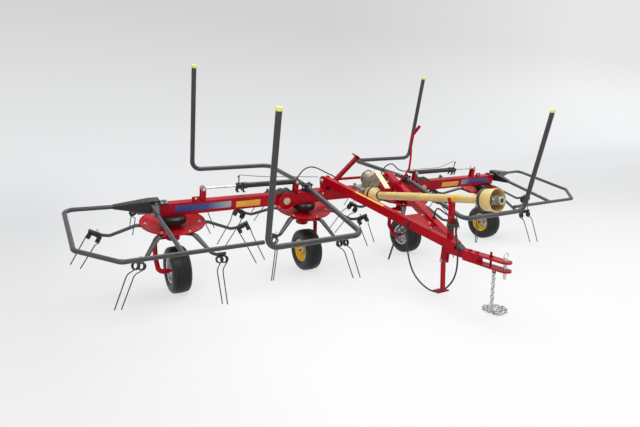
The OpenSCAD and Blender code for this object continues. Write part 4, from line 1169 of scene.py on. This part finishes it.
# %% Collars and beads
SHAFT_REAR, SHAFT_FALL = (0, 0.270, 0.721), 6.3
SHAFT = Matrix.Translation(SHAFT_REAR) @ Matrix.Rotation(math.radians(90 - SHAFT_FALL), 4, "X")
X_TO_Z = Matrix.Rotation(math.radians(-90), 4, "Y")
BEAD_RING_R, BEAD_R, BEAD_Z = 0.2680, 0.0045, -0.0470


def turned_piece(name, outlines, place, segments, material, body):
    """Closed outlines of (radius, along) turned about the Z axis of a frame."""
    mesh = bmesh.new()
    for outline in outlines:
        spin_outline(mesh, outline, (0, 0, 0), segments)
    bmesh.ops.transform(mesh, matrix=place @ X_TO_Z, verts=mesh.verts)
    piece = add_piece(name, mesh, material, body)


def collar(inner, outer, low, high):
    """The outline of a collar between two radii and two places along its line."""
    return rounded([(inner, low), (outer, low), (outer, high), (inner, high)], 0.003)


turned_piece("guard_collars", [
    collar(0.0828, 0.0895, 0.038, 0.064), collar(0.0362, 0.0420, 0.134, 0.150), collar(0.0828, 0.0895, 1.418, 1.440),
], SHAFT, 56, BLACK_PLASTIC, "base")
turned_piece("guard_rings", [
    collar(0.0852, 0.0885, 0.008, 0.020), collar(0.0862, 0.0900, 1.526, 1.542), collar(0.0362, 0.0390, 0.704, 0.722),
], SHAFT, 56, KHAKI, "base")
bead = [(BEAD_RING_R + BEAD_R * math.cos(a), BEAD_Z + BEAD_R * math.sin(a))
        for a in (math.tau * k / 10 for k in range(10))]
for number in range(1, 5):
    turned_piece(f"dish_bead_{number}", [bead], rotor_place(number), 96, RED, f"rotor_{number}")
print("collars and beads set")

# %% [markdown]
# ## Soft pieces over the joints
#
# A rubber boot keeps hay out of each fold hinge, and a thin cord runs from each cylinder's latch to the frame.
# Both cross a joint.

# %% Boots and latch cords
BOOT_TOP = [(0.775, 0.134), (0.800, 0.150), (0.832, 0.170), (0.862, 0.158), (0.898, 0.168), (0.932, 0.149),
            (0.955, 0.134)]
BOOT_LOW, BOOT_HALF = 0.1308, 0.044
LATCH_CORDS = {
    -1: [(0.505, 0, 0.262), (0.800, 0, 0.284), (1.060, 0, 0.300), (1.322, 0, 0.334)],
    1: [(0.640, 0, 0.268), (1.000, 0, 0.268), (1.107, 0, 0.276), (1.300, 0, 0.334)],
}
CORD_R = 0.0028


def blend_out(piece):
    """Bakes a piece's place into its mesh; the piece rides on no body."""
    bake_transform(piece)


for side, word in SIDES:
    mesh = bmesh.new()
    rings = []
    for spot in curve_through([Vector((x, 0, z)) for x, z in BOOT_TOP], 5):
        low, high = BOOT_LOW, max(spot.z, BOOT_LOW + 0.002)
        soft = 0.4 * (high - low)
        section = [(-BOOT_HALF, low), (-BOOT_HALF, high - soft), (-BOOT_HALF + soft, high), (0, high + 0.0015),
                   (BOOT_HALF - soft, high), (BOOT_HALF, high - soft), (BOOT_HALF, low), (0, low)]
        rings.append([mesh.verts.new(DECK @ Vector((side * spot.x, y, z))) for y, z in section])
    join_rings(mesh, rings[::-1])
    boot = add_piece(f"hinge_boot_{word}", mesh, RUBBER, smooth=math.radians(60))
    blend_out(boot)
    mesh = bmesh.new()
    line = [DECK @ Vector((side * p.x, p.y, p.z)) for p in curve_through(LATCH_CORDS[side], 6)]
    sweep_tube(mesh, line, CORD_R, 8)
    wire = add_piece(f"latch_cord_{word}", mesh, BLACK_PLASTIC)
    blend_out(wire)
print("boots and latch cords set")

# %% [markdown]
# ## The label on the shaft guard
#
# A label is wrapped over the guard's tube, just in front of its cradle, and stays bare here. A flat plate with a
# Shrinkwrap modifier would follow the tube too. The tube is plain, so rings of four corners round it do.

# %% Curved label
LABEL_R, LABEL_T, LABEL_ALONG = 0.0332, 0.0006, (1.114, 1.180)
LABEL_FROM, LABEL_STEP, LABEL_STEPS = -20, 10, 15
mesh = bmesh.new()
rings = []
low, high = LABEL_ALONG
corners = [(LABEL_R, low), (LABEL_R + LABEL_T, low), (LABEL_R + LABEL_T, high), (LABEL_R, high)]
for a in (math.radians(LABEL_FROM + LABEL_STEP * k) for k in range(LABEL_STEPS)):
    way = Vector((-math.cos(a), math.sin(a), 0))
    rings.append([mesh.verts.new(SHAFT @ (way * r + Vector((0, 0, s)))) for r, s in corners])
join_rings(mesh, rings[::-1])
add_piece("guard_label", mesh, STRIPE, "base")
print("label set")

# %% [markdown]
# ## Chain
#
# The safety chain's loose end lies in a heap. It could be dropped there by a simulation. The CAD model has its
# outer turn, so the wire recipe only adds the inner ones, as closed loops set link by link along two spirals,
# each rolled the other way from the last, which gives the same heap each time.


# %% Chain heap
HEAP = Vector((0.096, -1.231, 0.0))
LINK_LONG, LINK_WIDE, LINK_WIRE, LINK_PITCH = 0.0166, 0.0112, 0.0034, 0.0266
LINK_ROLL = 42
# Each spiral: radius at its start and end, height, number of turns, and the angle it starts at
SPIRALS = ((0.066, 0.014, 0.0122, 1.9, 0.5), (0.078, 0.030, 0.0270, 1.5, 2.0))


def link_loop(centre, along, roll):
    """The middle line of one link, an oval with straight sides."""
    flat = Vector((-along.y, along.x, 0))
    across = math.cos(roll) * flat + math.sin(roll) * Vector((0, 0, 1))
    straight = LINK_LONG - LINK_WIDE
    points = []
    for a in (math.tau * (k + 0.5) / 16 for k in range(16)):
        forward = LINK_WIDE * math.cos(a) + math.copysign(straight, math.cos(a))
        points.append(centre + along * forward + across * LINK_WIDE * math.sin(a))
    return points


loops = []
for start_r, end_r, height, turns, first in SPIRALS:
    angle, number = first, 0
    while angle - first < turns * math.tau:
        share = (angle - first) / (turns * math.tau)
        r = start_r + (end_r - start_r) * share
        tangent = Vector((-math.sin(angle), math.cos(angle), 0))
        place = HEAP + Vector((r * math.cos(angle), r * math.sin(angle), height))
        loops.append(link_loop(place, tangent, math.radians(LINK_ROLL if number % 2 else -LINK_ROLL)))
        angle += LINK_PITCH / r
        number += 1
heap = WIRES.grow("chain_heap", line_mesh("links", loops, closed=True), Radius=LINK_WIRE, Sides=8, Copies=1,
                  Turn=0.0, Material=ZINC)
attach(heap, "base")
print("heap of", len(loops), "links")

# %% [markdown]
# ## Latches
#
# Each fold cylinder ends in a gland that its rod runs in, and below it hang the hooks of the transport latch,
# which the thin cord pulls open. They are made of the turned outline and the bevelled box of the cells above,
# because at this size a few clean edges look right, and finer shapes would not be seen.

# %% Glands and hooks
GLAND = [(0.0105, 1.3430), (0.0185, 1.3430), (0.0185, 1.3470), (0.0150, 1.3500), (0.0105, 1.3500)]
# A hook is a stem and a foot: where each is from the hook's place and the eye's height, and its half sizes
HOOKS = ((1.287, -0.022), (1.287, 0.022), (1.341, -0.014), (1.341, 0.014))
HOOK_PARTS = ((0.0, -0.033, (0.007, 0.0035, 0.017)), (-0.006, -0.052, (0.013, 0.0035, 0.0045)))

for side, word in SIDES:
    mesh = bmesh.new()
    spin_outline(mesh, [(radius, side * along) for radius, along in GLAND], deck(0, 0, EYE_Z), 28)
    for x, y in HOOKS:
        for out, up, half in HOOK_PARTS:
            add_box(mesh, deck(side * (x + out), y, EYE_Z + up), half, axes_of(DECK), bevel=0.001)
    latch = add_piece(f"cylinder_latch_{word}", mesh, BLACK, f"barrel_{word}")
print("latches set")

# %% [markdown]
# ## Studio
#
# A studio lights a machine with large soft boxes, so that its shadows are faint and paint keeps its colour. Small
# lamps would draw hard shadows, and a picture of a room would show in the paint.


# %% Soft boxes
def soft_box(name, place, target, size, power):
    """A large rectangular lamp, as wide and high as the size, turned to its target."""
    lamp = bpy.data.lights.new(name, "AREA")
    lamp.shape = "RECTANGLE"
    lamp.size, lamp.size_y = size
    lamp.energy = power
    look_at(in_scene(name, lamp), place, target)


soft_box("key_box", (-4.5, -4.0, 5.5), (0, 0.3, 0.4), (5.0, 3.0), 225)
soft_box("top_box", (0.5, 1.0, 6.0), (0, 0.4, 0), (6.0, 5.0), 345)
soft_box("fill_box", (6.0, -3.5, 4.0), (0.5, 0.3, 0.5), (4.0, 3.0), 70)
print(len(bpy.data.lights), "soft boxes")

# %% [markdown]
# The floor and the wall are one sheet of paper with a wide bend, so that no line shows where they meet. A flat
# floor with a pale world behind it would do for one view, but its horizon would show from the sides.

# %% Floor and wall
WALL_Y, WALL_R, WALL_HEIGHT = 14.0, 6.0, 14.0
FLOOR_FRONT, STAGE_HALF = -22.0, 60.0

sweep = bmesh.new()
outline = [(FLOOR_FRONT, 0.0), (WALL_Y - WALL_R, 0.0)]
outline += [
    (WALL_Y - WALL_R + WALL_R * math.sin(math.radians(a)), WALL_R - WALL_R * math.cos(math.radians(a)))
    for a in range(5, 91, 5)
]
outline += [(WALL_Y, WALL_HEIGHT)]
rows = [[sweep.verts.new((x, y, z)) for x in (-STAGE_HALF, STAGE_HALF)] for y, z in outline]
for low, high in zip(rows, rows[1:]):
    sweep.faces.new((low[0], low[1], high[1], high[0])).smooth = True
floor_mesh = bpy.data.meshes.new("studio_floor")
sweep.to_mesh(floor_mesh)
sweep.free()
floor = in_scene("studio_floor", floor_mesh)
print("floor and wall,", len(rows) - 1, "strips")

# %% [markdown]
# The paper has to look nearly white. More light would bleach the machine, so a plain glow is mixed into the
# paper's own grey instead. It is there for the rays that look at the paper, straight, off a polish or through
# glass, and not for those that carry light to the machine. Part of the grey stays, and keeps the shadow.


# %% Paper
PAPER_GREY, PAPER_ROUGH = (0.80, 0.80, 0.81), 0.85
# The glow darkens from near to far and up the wall: painted shade, for the lamps' light falling off over the paper
NEAR_TINT, FAR_PAINTED_SHADE, HIGH_PAINTED_SHADE = (1.0, 1.0, 1.0), (0.82, 0.83, 0.84), (0.66, 0.66, 0.66)
SHADE_FALL_Y, SHADE_FALL_Z = (-2.5, 4.5), (0.3, 5.0)
# The glow's share of the paper grows over this stretch. Its level is uneven: a dimmer patch towards negative X is
# painted shade, and a brighter patch towards large X is painted light
SHARE_Y, SHARE, GLOW = (1.0, 5.0), (0.70, 0.92), 1.04
DIM_X, DIM_Y, DIM_BY = (-1.6, -2.9), (11.0, 4.0), 0.13
BRIGHT_X, BRIGHT_Y, BRIGHT_BY = (8.0, 24.0), (7.5, 13.0), 0.25


def rays_that_look(tree):
    """1 for rays from the camera and for those that polish or glass sends on, and 0 for the light's own."""
    rays = tree.node("ShaderNodeLightPath").outputs
    camera_ray, *others = (Value(tree, rays[f"Is {kind} Ray"]) for kind in ("Camera", "Glossy", "Transmission"))
    return sum(others, camera_ray).clamped()


def studio_paper():
    """Paper that glows for the rays that look at it, with painted shade that darkens the glow from near to far and
    up the wall, and with one patch of painted shade and one of painted light.
    """
    finish = Finish("studio_paper")
    finish.set(Base_Color=PAPER_GREY, Roughness=PAPER_ROUGH)
    x, y, z = (finish.axis(name) for name in "XYZ")
    shown = rays_that_look(finish) * finish.range(y, *SHARE_Y, *SHARE)
    shaded_glow = finish.mix(finish.range(y, *SHADE_FALL_Y), NEAR_TINT, FAR_PAINTED_SHADE)
    shaded_glow = finish.mix(finish.range(z, *SHADE_FALL_Z), shaded_glow, HIGH_PAINTED_SHADE)
    dim_side = finish.range(x, *DIM_X) * finish.range(y, *DIM_Y)
    bright_side = finish.range(x, *BRIGHT_X) * finish.range(y, *BRIGHT_Y)
    # The glow's level holds a patch of painted light and a patch of painted shade
    level = BRIGHT_BY * bright_side - DIM_BY * dim_side + GLOW
    glow = finish.node("ShaderNodeEmission", inputs={"Color": shaded_glow, "Strength": level})
    both = finish.node("ShaderNodeMixShader", inputs={0: shown, 1: finish.shader.outputs[0], 2: glow.outputs[0]})
    finish.feed(finish.end.inputs["Surface"], both.outputs[0])
    return finish.material


floor.data.materials.append(studio_paper())
print("paper has", len(floor.data.materials[0].node_tree.nodes), "nodes")

# %% [markdown]
# The world is what rays meet that miss everything. It lights the machine faintly and evenly from all sides, as a
# room with white walls does, and looks as pale as the paper. A picture of a real room would light it too, but a
# plain world has no pattern that could show in the paint. Standard keeps colours as they are written.

# %% World
WORLD_LIGHT = {"Color": (0.93, 0.94, 0.96, 1), "Strength": 0.22}
WORLD_SEEN = {"Color": (0.93, 0.93, 0.93, 1), "Strength": 1.0}

bpy.context.scene.view_settings.view_transform = "Standard"
world = bpy.data.worlds.new("studio")
world.use_nodes = True
sky = NodeTree(world.node_tree)
sky.tree.nodes.clear()
lit, seen = (sky.node("ShaderNodeBackground", inputs=inputs) for inputs in (WORLD_LIGHT, WORLD_SEEN))
both = sky.node("ShaderNodeMixShader", inputs={0: rays_that_look(sky), 1: lit.outputs[0], 2: seen.outputs[0]})
sky.node("ShaderNodeOutputWorld", inputs={"Surface": both.outputs[0]})
bpy.context.scene.world = world
print("world ready")
